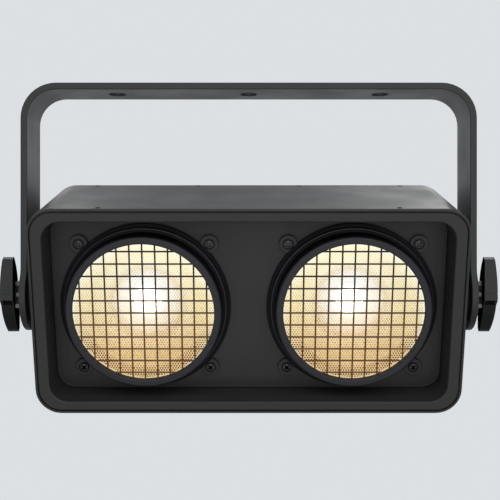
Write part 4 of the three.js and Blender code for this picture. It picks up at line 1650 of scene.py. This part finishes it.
    def guard(self) -> bmesh.types.BMesh:
        """Lays upright wires on level ones in a round ring, as they are welded.

        Returns:
            The guard.
        """
        radius = self.wire / 2
        middle = self.guard_front + self.guard_thick / 2
        anchor = self.guard_outer - self.guard_ring / 2
        pen = Pen(anchor + self.guard_ring / 2, middle).arc(anchor, middle, 360, TINY)
        bmesh.ops.remove_doubles(pen.mesh, verts=pen.mesh.verts[:], dist=MM)
        bmesh.ops.scale(
            pen.mesh, vec=(1, 1, self.guard_thick / self.guard_ring), verts=pen.mesh.verts[:],
            space=Matrix.Translation((-anchor, 0, -middle)),
        )
        parts = [turned(pen.mesh, FINE)]
        for i in range(-self.wires_each_side, self.wires_each_side + 1):
            offset = i * self.wire_pitch
            level = offset - self.level_drop
            wide, high = (math.sqrt(anchor**2 - place**2) for place in (level, offset))
            level_wire = rod(radius, -wide, wide, self.wire_steps, Axis.X)
            upright_wire = rod(radius, -high, high, self.wire_steps, Axis.Z)
            parts.append(shifted(level_wire, y=middle + radius * self.wire_sink, z=level))
            parts.append(shifted(upright_wire, x=offset, y=middle - radius * self.wire_sink))
        return gathered(parts)

    def bowl(self) -> bmesh.types.BMesh:
        """Spins the bowl along a bowed profile from its throat to its rim, and back along its outside.

        Returns:
            The bowl.
        """
        inside = []
        for i in range(self.bowl_rings + 1):
            share = i / self.bowl_rings
            radius = self.bowl_throat + (self.bowl_rim - self.bowl_throat) * share**self.bow_share
            inside.append((radius, self.bowl_back + (self.bowl_front - self.bowl_back) * share))
        outside = [(radius + self.bowl_wall, depth) for radius, depth in reversed(inside)]
        flange = self.bowl_flange_front + self.bowl_flange_thick
        lip = [(self.bowl_rim, self.bowl_flange_front), (self.bowl_flange, self.bowl_flange_front)]
        lip += [(self.bowl_flange, flange), (self.bowl_rim + self.bowl_wall, flange)]
        pen = Pen(*inside[0]).lines(inside[1:] + lip + outside)
        return turned(pen.closed(), FINE)

    def source(self) -> bmesh.types.BMesh:
        """Makes the square carrier of the light source with its round emitter.

        Returns:
            The carrier with its emitter.
        """
        middle = (self.board_front + self.board_back) / 2
        carrier = shifted(block(self.board, self.board_back - self.board_front, self.board), y=middle)
        return worked(carrier, [rod(self.source_radius, self.source_front, middle, ROUND)], Joinery.JOIN)

    def heat_sink(self) -> bmesh.types.BMesh:
        """Draws the comb of fins from above and pushes it up and down.

        Returns:
            The heat sink.
        """
        pitch = (self.sink_width - self.fin_thick) / (self.fins - 1)
        base, half = self.sink_front + self.sink_base, self.sink_width / 2
        pen = Pen(half, self.sink_front)
        for i in reversed(range(self.fins)):
            left = i * pitch - half
            if i < self.fins - 1:
                pen.line(left + self.fin_thick, base)
            pen.lines([(left + self.fin_thick, self.sink_back), (left, self.sink_back)])
            if i:
                pen.line(left, base)
        pen.line(-half, self.sink_front)
        return pushed(pen.sheet(), -self.sink_height / 2, self.sink_height / 2, Axis.Z)

    def screws(self, shop: Workshop, side: Side) -> None:
        """Sets the four screws of the ring.

        Args:
            shop: what dresses the pieces and knows the layout.
            side: the side.
        """
        seat = self.flange_front + self.counter_depth - SEAT
        for i, (x, z) in enumerate(corners(shop.layout.ear_reach), 1):
            place = shop.layout.lamp(side) @ Matrix.Translation((x, seat, z))
            node = f"lamp_screw_{side.word}_{i}"
            shop.settle(
                Screw().shape(), f"ring_{node}", place, shop.finishes.cross_screw, [node], FAINT_EDGE,
                own_axes=True,
            )


@dataclass
class TiltClamp:
    """What clamps the tilt on one side: boss, friction disc, washer with spacer, stud and winged knob."""

    bore: float = 5.3
    disc: float = 24.0
    disc_inner: float = 190.7
    disc_outer: float = 193.7
    boss_flange: float = 20.0
    boss_inner: float = 179.3
    boss_shoulder: float = 183.8
    boss_neck: float = 14.0
    boss_outer: float = 190.4
    washer: float = 12.6
    washer_inner: float = 200.3
    washer_outer: float = 202.3
    tab_thick: float = 3.1
    tab_width: float = 9.0
    tab_outer: float = 209.5
    stud: float = 5.0
    stud_inner: float = 176.1
    stud_outer: float = 218.1
    stud_neck: float = 4.1
    spacer: float = 5.7
    thread_pitch: float = 1.5
    thread_depth: float = 0.55
    threads: int = 20
    knob_inner: float = 209.8
    knob_outer: float = 222.1
    crown: float = 2.8
    crown_steps: int = 8
    crown_reach_share: float = 1.1
    knob_edge: float = 0.7
    wing_off: float = 12.1
    wing_past: float = 5.0
    wing_reach: float = 33.8
    wing_tip: float = 4.6
    tip_chamfer: float = 2.9
    bow_off: float = 6.5
    bow_foot: float = 9.5
    bow: float = 2.1
    bow_steps: int = 8
    groove_above: float = 1.0
    groove_width: float = 1.9
    groove_depth: float = 0.7
    notch: float = 4.0
    notch_skin: float = 1.2

    def build(self, shop: Workshop, side: Side) -> None:
        """Builds and dresses one clamp.

        Args:
            shop: what dresses the pieces and knows the layout.
            side: the side.
        """
        place, finishes, word = shop.layout.head, shop.finishes, side.word
        upright = place @ Matrix.Rotation(-math.radians(shop.layout.tilt_degrees), 4, "X")
        disc = ring(self.disc, self.bore, self.disc_inner, self.disc_outer, ROUND, Axis.X)
        spacer = self.tabs(self.washer - self.tab_thick, self.spacer)
        washer, knob = f"washer_{word}", f"knob_{word}"
        pieces = [
            ("boss", self.boss(), place, finishes.steel, [f"pivot_boss_{word}"],
             PLAIN_EDGE, PLAIN_STEPS, "head"),
            ("clamp_disc", disc, place, finishes.rubber, [f"friction_disc_{word}"],
             SOFT_EDGE, PLAIN_STEPS, "head"),
            ("washer_plate", self.tabbed_washer(), upright, finishes.washer, [f"knob_washer_{word}"],
             CRISP_EDGE, PLAIN_STEPS, washer),
            ("spacer", spacer, upright, finishes.rubber, [], LIGHT_EDGE, PLAIN_STEPS, washer),
            ("stud", self.threaded_stud(), place, finishes.stud, [f"knob_stud_{word}"], 0, PLAIN_STEPS, knob),
            ("hand_knob", self.knob(), upright, finishes.knob, [knob], self.knob_edge, BROAD_STEPS, knob),
        ]
        for name, shape, where, finish, nodes, edge, steps, body in pieces:
            shop.settle(self.sided(shape, side), f"{name}_{word}", where, finish, nodes, edge, steps, body)

    @staticmethod
    def sided(mesh: bmesh.types.BMesh, side: Side) -> bmesh.types.BMesh:
        """Mirrors a right-hand shape for the left side.

        Args:
            mesh: the shape.
            side: the side.

        Returns:
            The same shape.
        """
        bmesh.ops.scale(mesh, vec=(side.value, 1, 1), verts=mesh.verts[:])
        bmesh.ops.recalc_face_normals(mesh, faces=mesh.faces[:])
        return mesh

    def boss(self) -> bmesh.types.BMesh:
        """Turns the flanged boss that takes the stud.

        Returns:
            The boss.
        """
        pen = Pen(self.bore, self.boss_inner).lines([
            (self.boss_flange, self.boss_inner), (self.boss_flange, self.boss_shoulder),
            (self.boss_neck, self.boss_shoulder), (self.boss_neck, self.boss_outer),
            (self.bore, self.boss_outer),
        ])
        return turned(pen.closed(), ROUND, Axis.X)

    def tabbed_washer(self) -> bmesh.types.BMesh:
        """Makes the washer with a tab above and below the stud that keeps the knob off it."""
        disc = ring(self.washer, self.bore, self.washer_inner, self.washer_outer, ROUND, Axis.X)
        return worked(disc, [self.tabs(self.washer, self.washer - self.tab_thick)], Joinery.JOIN)

    def tabs(self, outer: float, inner: float) -> bmesh.types.BMesh:
        """Cuts two tabs, above and below the stud, from a tube.

        Args:
            outer: the tube's outer radius.
            inner: the tube's inner radius.

        Returns:
            The two tabs.
        """
        collar = ring(outer, inner, self.washer_outer - SEAT, self.tab_outer, ROUND, Axis.X)
        span = block(self.tab_outer * 3, self.tab_width, self.washer * 3)
        return worked(collar, [span], Joinery.MEET)

    def threaded_stud(self) -> bmesh.types.BMesh:
        """Turns the stud with its thread drawn as close rings, and a bare neck where it can be seen.

        Returns:
            The stud.
        """
        pen = Pen(0, self.stud_inner).line(self.stud, self.stud_inner)
        top = self.stud_outer - self.thread_pitch
        for i in reversed(range(self.threads)):
            crest = top - i * self.thread_pitch
            bare = self.washer_outer < crest < self.tab_outer
            pen.line(self.stud_neck if bare else self.stud, crest - self.thread_pitch / 2)
            pen.line(self.stud_neck if bare else self.stud - self.thread_depth, crest)
        pen.line(self.stud, top + self.thread_pitch / 2)
        pen.lines([(self.stud - self.thread_depth, self.stud_outer), (0, self.stud_outer)])
        return turned(pen.mesh, SMALL, Axis.X)

    def wings(self) -> bmesh.types.BMesh:
        """Draws the two wings from the side, each with a straight edge, a chamfered tip and a bowed edge.

        Returns:
            The outline as one face.
        """
        top = self.wing_reach
        head, foot = Vector((self.wing_tip - self.wing_off, top)), Vector((self.bow_off, self.bow_foot))
        along = foot - head
        outwards = Vector((-along.y, along.x)).normalized()
        wing = [Vector((-self.wing_off, -self.wing_past)), Vector((-self.wing_off, top - self.tip_chamfer))]
        wing.append(Vector((self.tip_chamfer - self.wing_off, top)))
        for i in range(self.bow_steps + 1):
            share = i / self.bow_steps
            wing.append(head + along * share + outwards * (4 * share * (1 - share) * self.bow))
        points = wing + [-point for point in wing]
        return Pen(*points[0]).lines(tuple(point) for point in points[1:]).sheet()

    def knob(self) -> bmesh.types.BMesh:
        """Moulds the winged grip with its crowned outer face, grooves, slanting notches and blind bore.

        Returns:
            The knob.
        """
        grip = pushed(self.wings(), self.knob_inner, self.knob_outer + OVERRUN, Axis.X)
        widest = self.wing_reach * self.crown_reach_share
        pen = Pen(0, self.knob_inner - OVERRUN).line(widest, self.knob_inner - OVERRUN)
        for i in reversed(range(self.crown_steps)):
            radius = widest * i / (self.crown_steps - 1)
            pen.line(radius, self.knob_outer - self.crown * (radius / self.wing_reach) ** 2)
        crown = turned(pen.mesh, ROUND, Axis.X)
        tools = [rod(self.bore, self.knob_inner - OVERRUN, self.stud_outer + SEAT, SMALL, Axis.X)]
        for way in (-1, 1):
            groove = block(self.knob_outer * 3, self.groove_depth * 2, self.groove_width)
            tools.append(shifted(groove, y=way * self.wing_off, z=-way * self.groove_above))
            mouth = way * (self.wing_off + OVERRUN)
            pen = Pen(mouth, way * self.wing_past).line(way * self.notch, way * self.wing_past)
            pen.lines([(way * self.bow_off, way * self.bow_foot), (mouth, way * self.bow_foot)])
            end = self.knob_outer - self.notch_skin - self.crown / 2
            tools.append(pushed(pen.sheet(), self.knob_inner + self.notch_skin, end, Axis.X))
        return worked(worked(grip, [crown], Joinery.MEET), tools)


@dataclass
class RearSide:
    """The rear panel with its control plate, display, buttons, sockets and safety eye."""

    panel_front: float = 72.0
    panel_skirt: float = 12.0
    panel_wall: float = 2.0
    sink_window: Span = (108.4, 128.4)
    window_corner: float = 3.0
    plate_width: float = 70.0
    plate_top: float = 61.0
    plate_bottom: float = -77.0
    plate_corner: float = 5.0
    plate_border: float = 6.0
    display_width: float = 46.0
    display_height: float = 14.0
    display_z: float = 44.5
    display_thick: float = 1.5
    buttons: int = 4
    button_room: float = 0.4
    button_z: float = 24.0
    button_pitch: float = 14.0
    button_radius: float = 3.4
    button_front: float = 72.8
    button_collar: float = 4.6
    button_collar_thick: float = 1.1
    button_proud: float = 1.8
    dome: float = 0.8
    dome_top: float = 0.2
    dome_share: float = 0.8
    data_z: float = -22.0
    power_z: float = -58.0
    socket_pitch: float = 32.0
    socket_seat: float = 76.6
    socket_top: float = 78.6
    socket_width: float = 26.0
    socket_height: float = 31.0
    socket_corner: float = 3.0
    socket_screw: float = 1.9
    socket_screw_depth: float = 0.7
    socket_screw_spot: Span = (9.9, 12.4)
    socket_body: float = 11.8
    socket_depth: float = 22.0
    socket_floor: float = 12.0
    data_bore: float = 9.6
    power_bore: float = 10.4
    power_core: float = 6.2
    core_length: float = 5.0
    core_sunk: float = 1.0
    pins: int = 5
    pin_circle: float = 5.2
    pin_arc: float = 270.0
    pin_radius: float = 1.0
    pin_hole: float = 1.3
    pin_length: float = 8.5
    insert: float = 3.0
    latch: Size = (9.0, 9.0, 3.4)
    latch_above: float = 12.4
    latch_back: float = 80.2
    eye_z: float = 74.0
    eye_rod: float = 2.5
    eye_loop: float = 10.5
    eye_foot: Size = (36.0, 12.0, 2.0)
    eye_straight: float = 8.0
    panel_screw_spots: tuple[Span, ...] = (
        (-172.0, -82.0), (-172.0, 82.0), (-32.0, 82.0), (32.0, 82.0), (172.0, -82.0), (172.0, 82.0),
    )
    plate_screw_margin: float = 4.5
    panel_screw: Screw = Screw(
        head=2.9, rise=1.1, crown=0.6, shank=1.5, length=3.0, slot=0.8, slot_depth=0.6, flute=3.6
    )

    def build(self, shop: Workshop) -> None:
        """Builds and dresses everything on the back.

        Args:
            shop: what dresses the pieces and knows the layout.
        """
        layout, place, finishes = shop.layout, shop.layout.housing, shop.finishes
        tray, plate, window = self.panel(layout), self.plate(layout), self.window(layout)
        shop.settle(tray, "rear_tray", place, finishes.sheet, ["rear_panel"], SOFT_EDGE, BROAD_STEPS)
        shop.settle(plate, "controls_plate", place, finishes.sheet, ["control_plate"], PLAIN_EDGE)
        shop.settle(window, "display_glass", place, finishes.window, ["display_window"], CRISP_EDGE)
        for i in range(self.buttons):
            self.button(shop, i)
        self.sockets(shop)
        shop.settle(self.safety_eye(layout), "cable_eye", place, finishes.steel, ["safety_eye"], CRISP_EDGE)
        shop.settle(self.panel_screws(layout), "panel_screws", place, finishes.screw, edge=SMALL_EDGE)
        shop.carry_over(["display_module"], finishes.knob)
        shop.carry_over(["control_board"], finishes.board)
        shop.carry_over(["power_supply"], finishes.case)

    def panel(self, layout: Layout) -> bmesh.types.BMesh:
        """Presses the rear tray and cuts its windows.

        Args:
            layout: where the main parts lie.

        Returns:
            The panel.
        """
        inset = layout.wall + SEAT
        front = self.panel_front - self.panel_skirt
        tray = slab(*layout.casing, front, layout.rear, inset)
        tools = [slab(*layout.casing, front - OVERRUN, self.panel_front, inset + self.panel_wall)]
        cut = (self.panel_front - OVERRUN, layout.rear + OVERRUN)
        for side in Side:
            window = slab(*self.sink_window, self.window_corner, *cut)
            tools.append(shifted(window, x=side.value * layout.lamp_pitch / 2, z=-layout.lamp_below))
        high = self.plate_top - self.plate_bottom - self.plate_border * 2
        window = slab(self.plate_width - self.plate_border * 2, high, self.window_corner, *cut)
        return worked(tray, [*tools, shifted(window, z=self.plate_middle)])

    @property
    def plate_middle(self) -> float:
        """How far the middle of the control plate is above the housing's middle."""
        return (self.plate_top + self.plate_bottom) / 2

    def plate(self, layout: Layout) -> bmesh.types.BMesh:
        """Cuts the control plate with its holes.

        Args:
            layout: where the main parts lie.

        Returns:
            The plate.
        """
        cut = (layout.plate - OVERRUN, layout.plate_back + OVERRUN)
        high = self.plate_top - self.plate_bottom
        base = slab(self.plate_width, high, self.plate_corner, layout.plate, layout.plate_back)
        room = SEAT * 2
        display = slab(self.display_width + room, self.display_height + room, room, *cut)
        tools = [shifted(display, z=self.display_z)]
        for i in range(self.buttons):
            hole = rod(self.button_radius + self.button_room, *cut)
            tools.append(shifted(hole, x=self.button_x(i), z=self.button_z))
        for side in Side:
            for z in (self.data_z, self.power_z):
                hole = rod(self.socket_body + SEAT, *cut)
                tools.append(shifted(hole, x=side.value * self.socket_pitch / 2, z=z))
        latch = shifted(self.latch_window(*cut), x=self.socket_pitch / 2, z=self.data_z)
        return worked(shifted(base, z=self.plate_middle), [*tools, latch])

    def button_x(self, i: int) -> float:
        """Where a button lies across."""
        return (i - (self.buttons - 1) / 2) * self.button_pitch

    def latch_window(self, front: float, back: float) -> bmesh.types.BMesh:
        """Makes what cuts the window of the output's latch, about its socket's axis.

        Args:
            front: where the cut begins along Y.
            back: where it ends.

        Returns:
            The tool.
        """
        room = SEAT * 2
        window = slab(self.latch[0] + room, self.latch[2] + room, SEAT, front, back)
        return shifted(window, z=self.latch_above)

    def window(self, layout: Layout) -> bmesh.types.BMesh:
        """Cuts the display's window.

        Args:
            layout: where the main parts lie.

        Returns:
            The pane.
        """
        back = layout.plate_back - SEAT
        pane = slab(self.display_width, self.display_height, SEAT, back - self.display_thick, back)
        return shifted(pane, z=self.display_z)

    def button(self, shop: Workshop, i: int) -> None:
        """Turns one menu button with a domed top and a collar behind the plate.

        Args:
            shop: what dresses the pieces and knows the layout.
            i: its number from the left, starting at 0.
        """
        top = shop.layout.plate_back + self.button_proud
        collar = self.button_front + self.button_collar_thick
        pen = Pen(0, self.button_front).lines([
            (self.button_collar, self.button_front), (self.button_collar, collar),
            (self.button_radius, collar), (self.button_radius, top - self.dome),
            (self.button_radius * self.dome_share, top - self.dome_top), (0, top),
        ])
        place = shop.layout.housing @ Matrix.Translation((self.button_x(i), 0, self.button_z))
        shop.settle(
            turned(pen.mesh, SMALL), f"key_{i + 1}", place, shop.finishes.knob, [f"menu_button_{i + 1}"],
            LIGHT_EDGE, body=f"button_{i + 1}",
        )

    def shell(self, bore: float) -> bmesh.types.BMesh:
        """Makes a socket's flange and barrel about its own axis.

        Args:
            bore: the radius that takes the plug.

        Returns:
            The shell.
        """
        top = self.socket_top
        flange = slab(self.socket_width, self.socket_height, self.socket_corner, self.socket_seat, top)
        barrel = rod(self.socket_body, top - self.socket_depth, self.socket_seat + OVERRUN, ROUND)
        tools = [rod(bore, top - self.socket_floor, top + OVERRUN, ROUND)]
        for side in Side:
            seat = rod(self.socket_screw, top - self.socket_screw_depth, top + OVERRUN, TINY)
            x, z = self.socket_screw_spot
            tools.append(shifted(seat, x=side.value * x, z=side.value * z))
        return worked(worked(flange, [barrel], Joinery.JOIN), tools)

    def pin_places(self) -> list[Span]:
        """Where the contacts lie round a data socket's axis.

        Returns:
            Places across and up.
        """
        places = []
        for i in range(self.pins):
            angle = math.pi / 2 + math.radians(self.pin_arc) * (i / (self.pins - 1) - 0.5)
            places.append((self.pin_circle * math.cos(angle), self.pin_circle * math.sin(angle)))
        return places

    def sockets(self, shop: Workshop) -> None:
        """Builds the data and mains sockets with their inserts and the release latch.

        Args:
            shop: what dresses the pieces and knows the layout.
        """
        finishes, floor = shop.finishes, self.socket_top - self.socket_floor
        data_in, data_out, power_in, power_out = (
            shop.layout.housing @ Matrix.Translation((side.value * self.socket_pitch / 2, 0, z))
            for z in (self.data_z, self.power_z) for side in Side
        )
        notch = self.latch_window(floor - self.socket_depth, self.socket_top + OVERRUN)
        tab = shifted(block(*self.latch), y=self.latch_back - self.latch[1] / 2, z=self.latch_above)
        pieces = [
            ("data_in_shell", "data_in_socket", self.shell(self.data_bore), data_in,
             finishes.zinc, CRISP_EDGE),
            ("data_out_shell", "data_out_socket", worked(self.shell(self.data_bore), [notch]), data_out,
             finishes.zinc, CRISP_EDGE),
            ("data_in_core", "data_in_insert", self.pin_core(), data_in, finishes.knob, SMALL_EDGE),
            ("data_out_core", "data_out_insert", self.hole_core(), data_out, finishes.knob, LIGHT_EDGE),
        ]
        for name, node, shape, place, finish, edge in pieces:
            shop.settle(shape, name, place, finish, [node], edge)
        shop.settle(
            tab, "release_tab", data_out, finishes.steel, ["data_out_latch"], SOFT_EDGE, BROAD_STEPS, "latch"
        )
        mains = (("power_in", power_in, finishes.inlet), ("power_out", power_out, finishes.outlet))
        for name, place, finish in mains:
            shop.settle(self.power_shell(), f"{name}_shell", place, finish, [f"{name}_socket"], CRISP_EDGE)

    def power_shell(self) -> bmesh.types.BMesh:
        """Makes a power socket's shell with the middle that its contacts sit in.

        Returns:
            The shell.
        """
        floor = self.socket_top - self.socket_floor
        middle = rod(self.power_core, floor - OVERRUN, floor + self.core_length, ROUND)
        return worked(self.shell(self.power_bore), [middle], Joinery.JOIN)

    def pin_core(self) -> bmesh.types.BMesh:
        """Makes the insert of the data input with its pins.

        Returns:
            The insert.
        """
        start = self.socket_top - self.socket_floor + SEAT
        face = start + self.insert
        pin = (self.pin_radius, face - OVERRUN, face + self.pin_length - self.insert, TINY)
        pins = [shifted(rod(*pin), x=x, z=z) for x, z in self.pin_places()]
        return worked(rod(self.data_bore - SEAT, start, face, ROUND), pins, Joinery.JOIN)

    def hole_core(self) -> bmesh.types.BMesh:
        """Makes the insert of the data output with its contact holes.

        Returns:
            The insert.
        """
        start, top = self.socket_top - self.socket_floor + SEAT, self.socket_top - self.core_sunk
        hole = (self.pin_hole, top - self.pin_length, top + OVERRUN, TINY)
        holes = [shifted(rod(*hole), x=x, z=z) for x, z in self.pin_places()]
        return worked(rod(self.data_bore - SEAT, start, top, ROUND), holes)

    def safety_eye(self, layout: Layout) -> bmesh.types.BMesh:
        """Bends a rod into a loop on a small foot.

        Args:
            layout: where the main parts lie.

        Returns:
            The eye on its foot.
        """
        front = layout.rear + SEAT
        wide, high, thick = self.eye_foot
        foot = shifted(slab(wide, high, self.eye_rod, front, front + thick), z=self.eye_z)
        middle, leg = front + thick / 2, thick / 2 + self.eye_straight
        mesh = bmesh.new()
        bmesh.ops.create_circle(mesh, cap_ends=True, segments=TINY, radius=self.eye_rod)
        mesh.transform(Matrix.Translation((self.eye_loop, middle, 0)) @ Matrix.Rotation(math.pi / 2, 4, "X"))
        made = bmesh.ops.extrude_face_region(mesh, geom=mesh.faces[:])
        bmesh.ops.translate(mesh, vec=(0, leg, 0), verts=picked(made["geom"], bmesh.types.BMVert))
        tip = picked(made["geom"], bmesh.types.BMFace)
        made = bmesh.ops.spin(
            mesh, geom=tip, cent=(0, middle + leg, 0), axis=(0, 0, 1), dvec=(0, 0, 0), angle=math.pi,
            steps=SMALL, use_merge=False, use_duplicate=False,
        )
        tip = picked(made["geom_last"], bmesh.types.BMFace)
        made = bmesh.ops.extrude_face_region(mesh, geom=tip)
        bmesh.ops.translate(mesh, vec=(0, -leg, 0), verts=picked(made["geom"], bmesh.types.BMVert))
        bmesh.ops.delete(mesh, geom=tip, context="FACES_ONLY")
        return worked(foot, [shifted(mesh, z=self.eye_z)], Joinery.JOIN)

    def panel_screws(self, layout: Layout) -> bmesh.types.BMesh:
        """Sets low screws round the rear panel and at the corners of the control plate.

        Args:
            layout: where the main parts lie.

        Returns:
            The screws in one mesh.
        """
        turn = Matrix.Rotation(math.pi, 4, "Z")
        spots = [(x, layout.rear, z) for x, z in self.panel_screw_spots]
        margin = self.plate_screw_margin
        for x in (margin - self.plate_width / 2, self.plate_width / 2 - margin):
            for z in (self.plate_top - margin, self.plate_bottom + margin):
                spots.append((x, layout.plate_back, z))
        return self.panel_screw.row(Matrix.Translation(spot) @ turn for spot in spots)


# Studio


@dataclass
class Studio:
    """Camera, floor, world and soft lights, placed as for the reference view."""

    pixels: float = 500.0
    focal_pixels: float = 896.3
    sensor: float = 36.0
    distance: float = 809.6
    eye_level: float = -160.0
    centre_pixel: float = 248.7
    horizon_pixel: float = 265.1
    floor_level: float = -900.0
    floor_radius: float = 9000.0
    fade_start: float = 900.0
    fade_end: float = 1900.0
    floor_roughness: float = 0.9
    floor_gloss: float = 0.1
    backdrop: Colour = (0.716, 0.745, 0.768)
    room_colour: Colour = (0.95, 0.97, 1.0)
    room_light: float = 0.06
    lights: tuple[tuple[str, Size, Span, float], ...] = (
        ("front", (0, -2000, -200), (1600, 900), 7.7),
        ("high", (0, -1500, 850), (1600, 900), 5.4),
        ("right", (1100, -1500, 500), (900, 900), 2.6),
        ("below", (0, -900, -800), (1400, 700), 3.0),
        ("top", (200, 0, 1500), (900, 700), 6.0),
        ("top_front", (0, -800, 1300), (1400, 500), 4.0),
        ("back_left", (-1250, 2170, 1285), (1300, 620), 9.0),
        ("back_right", (1120, 2270, 1285), (1300, 620), 16.5),
    )

    def build(self) -> None:
        """Sets up everything that isn't part of the light."""
        self.camera()
        self.world()
        self.floor()
        for name, where, size, power in self.lights:
            self.lamp(name, where, size, power)
        bpy.context.scene.view_settings.view_transform = "Standard"

    def camera(self) -> None:
        """Puts a level camera in front of the light."""
        data = bpy.data.cameras.new("camera")
        data.sensor_width = self.sensor
        data.lens = self.sensor * self.focal_pixels / self.pixels
        data.shift_x = (self.pixels / 2 - self.centre_pixel) / self.pixels
        data.shift_y = (self.horizon_pixel - self.pixels / 2) / self.pixels
        camera = bpy.data.objects.new("camera", data)
        camera.location = Vector((0, -self.distance, self.eye_level)) * MM
        camera.rotation_euler = (math.pi / 2, 0, 0)
        bpy.context.scene.collection.objects.link(camera)
        bpy.context.scene.camera = camera

    def world(self) -> None:
        """Shows the pale backdrop to the camera, gloss and glass, and gives a soft grey light."""
        world = bpy.data.worlds.new("world")
        bpy.context.scene.world = world
        world.use_nodes = True
        tree = world.node_tree
        shown = tree.nodes["Background"]
        shown.inputs["Color"].default_value = (*self.backdrop, 1.0)
        shown.inputs["Strength"].default_value = 1.0
        light = tree.nodes.new("ShaderNodeBackground")
        light.inputs["Color"].default_value = (*self.room_colour, 1.0)
        light.inputs["Strength"].default_value = self.room_light
        mix = tree.nodes.new("ShaderNodeMixShader")
        tree.links.new(seen_rays(tree), mix.inputs[0])
        tree.links.new(light.outputs[0], mix.inputs[1])
        tree.links.new(shown.outputs[0], mix.inputs[2])
        tree.links.new(mix.outputs[0], tree.nodes["World Output"].inputs[0])

    def floor(self) -> None:
        """Lays a plain pale floor that fades into the backdrop with distance."""
        mesh = bmesh.new()
        bmesh.ops.create_circle(mesh, cap_ends=True, segments=FINE, radius=self.floor_radius)
        bmesh.ops.translate(mesh, vec=(0, 0, self.floor_level), verts=mesh.verts[:])
        mesh.transform(METRES)
        floor = loose_object("floor", mesh)
        bpy.context.scene.collection.objects.link(floor)
        sheet = NodeSheet("floor")
        sheet.set(
            Base_Color=self.backdrop, Roughness=self.floor_roughness, Specular_IOR_Level=self.floor_gloss
        )
        away = sheet.vector("LENGTH", sheet.vector("MULTIPLY", sheet.place(), (1, 1, 0)))
        far = sheet.range(away, self.fade_start, self.fade_end, smooth=True)
        share = sheet.math("MULTIPLY", far, seen_rays(sheet.tree))
        glow = sheet.node("ShaderNodeEmission")
        glow.inputs["Color"].default_value = (*self.backdrop, 1.0)
        mix = sheet.node("ShaderNodeMixShader", [share, sheet.shader.outputs[0], glow.outputs[0]])
        sheet.tree.links.new(mix.outputs[0], sheet.tree.nodes["Material Output"].inputs[0])
        floor.data.materials.append(sheet.material)

    def lamp(self, name: str, where: Size, size: Span, power: float) -> None:
        """Hangs one soft light that faces the middle of the object.

        Args:
            name: its name.
            where: its place in millimetres.
            size: its width and height in millimetres.
            power: its power in watts.
        """
        data = bpy.data.lights.new(name, "AREA")
        data.shape = "RECTANGLE"
        data.size, data.size_y = size[0] * MM, size[1] * MM
        data.energy = power
        light = bpy.data.objects.new(name, data)
        target = Vector((0, 0, self.eye_level))
        light.location = Vector(where) * MM
        light.rotation_euler = (target - Vector(where)).to_track_quat("-Z", "Y").to_euler()
        light.visible_camera = False
        bpy.context.scene.collection.objects.link(light)


def seen_rays(tree: bpy.types.NodeTree) -> bpy.types.NodeSocket:
    """Adds a mask for what the camera sees straight, in gloss or through glass.

    Args:
        tree: the nodes to add to.

    Returns:
        1 for such rays and 0 for others.
    """
    path = tree.nodes.new("ShaderNodeLightPath")
    total = path.outputs["Is Camera Ray"]
    for name in ("Is Glossy Ray", "Is Transmission Ray"):
        node = tree.nodes.new("ShaderNodeMath")
        node.operation = "MAXIMUM"
        tree.links.new(total, node.inputs[0])
        tree.links.new(path.outputs[name], node.inputs[1])
        total = node.outputs[0]
    return total


def main() -> None:
    """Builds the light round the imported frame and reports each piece."""
    logging.basicConfig(level=logging.INFO, format="%(name)s: %(message)s")
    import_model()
    Studio().build()
    shop = Workshop(Layout(), Finishes())
    Yoke().build(shop)
    Housing().build(shop)
    for side in Side:
        Lamp().build(shop, side)
        TiltClamp().build(shop, side)
    RearSide().build(shop)
    LOG.info("%d pieces made", len(shop.made))


if __name__ == "__main__":
    main()
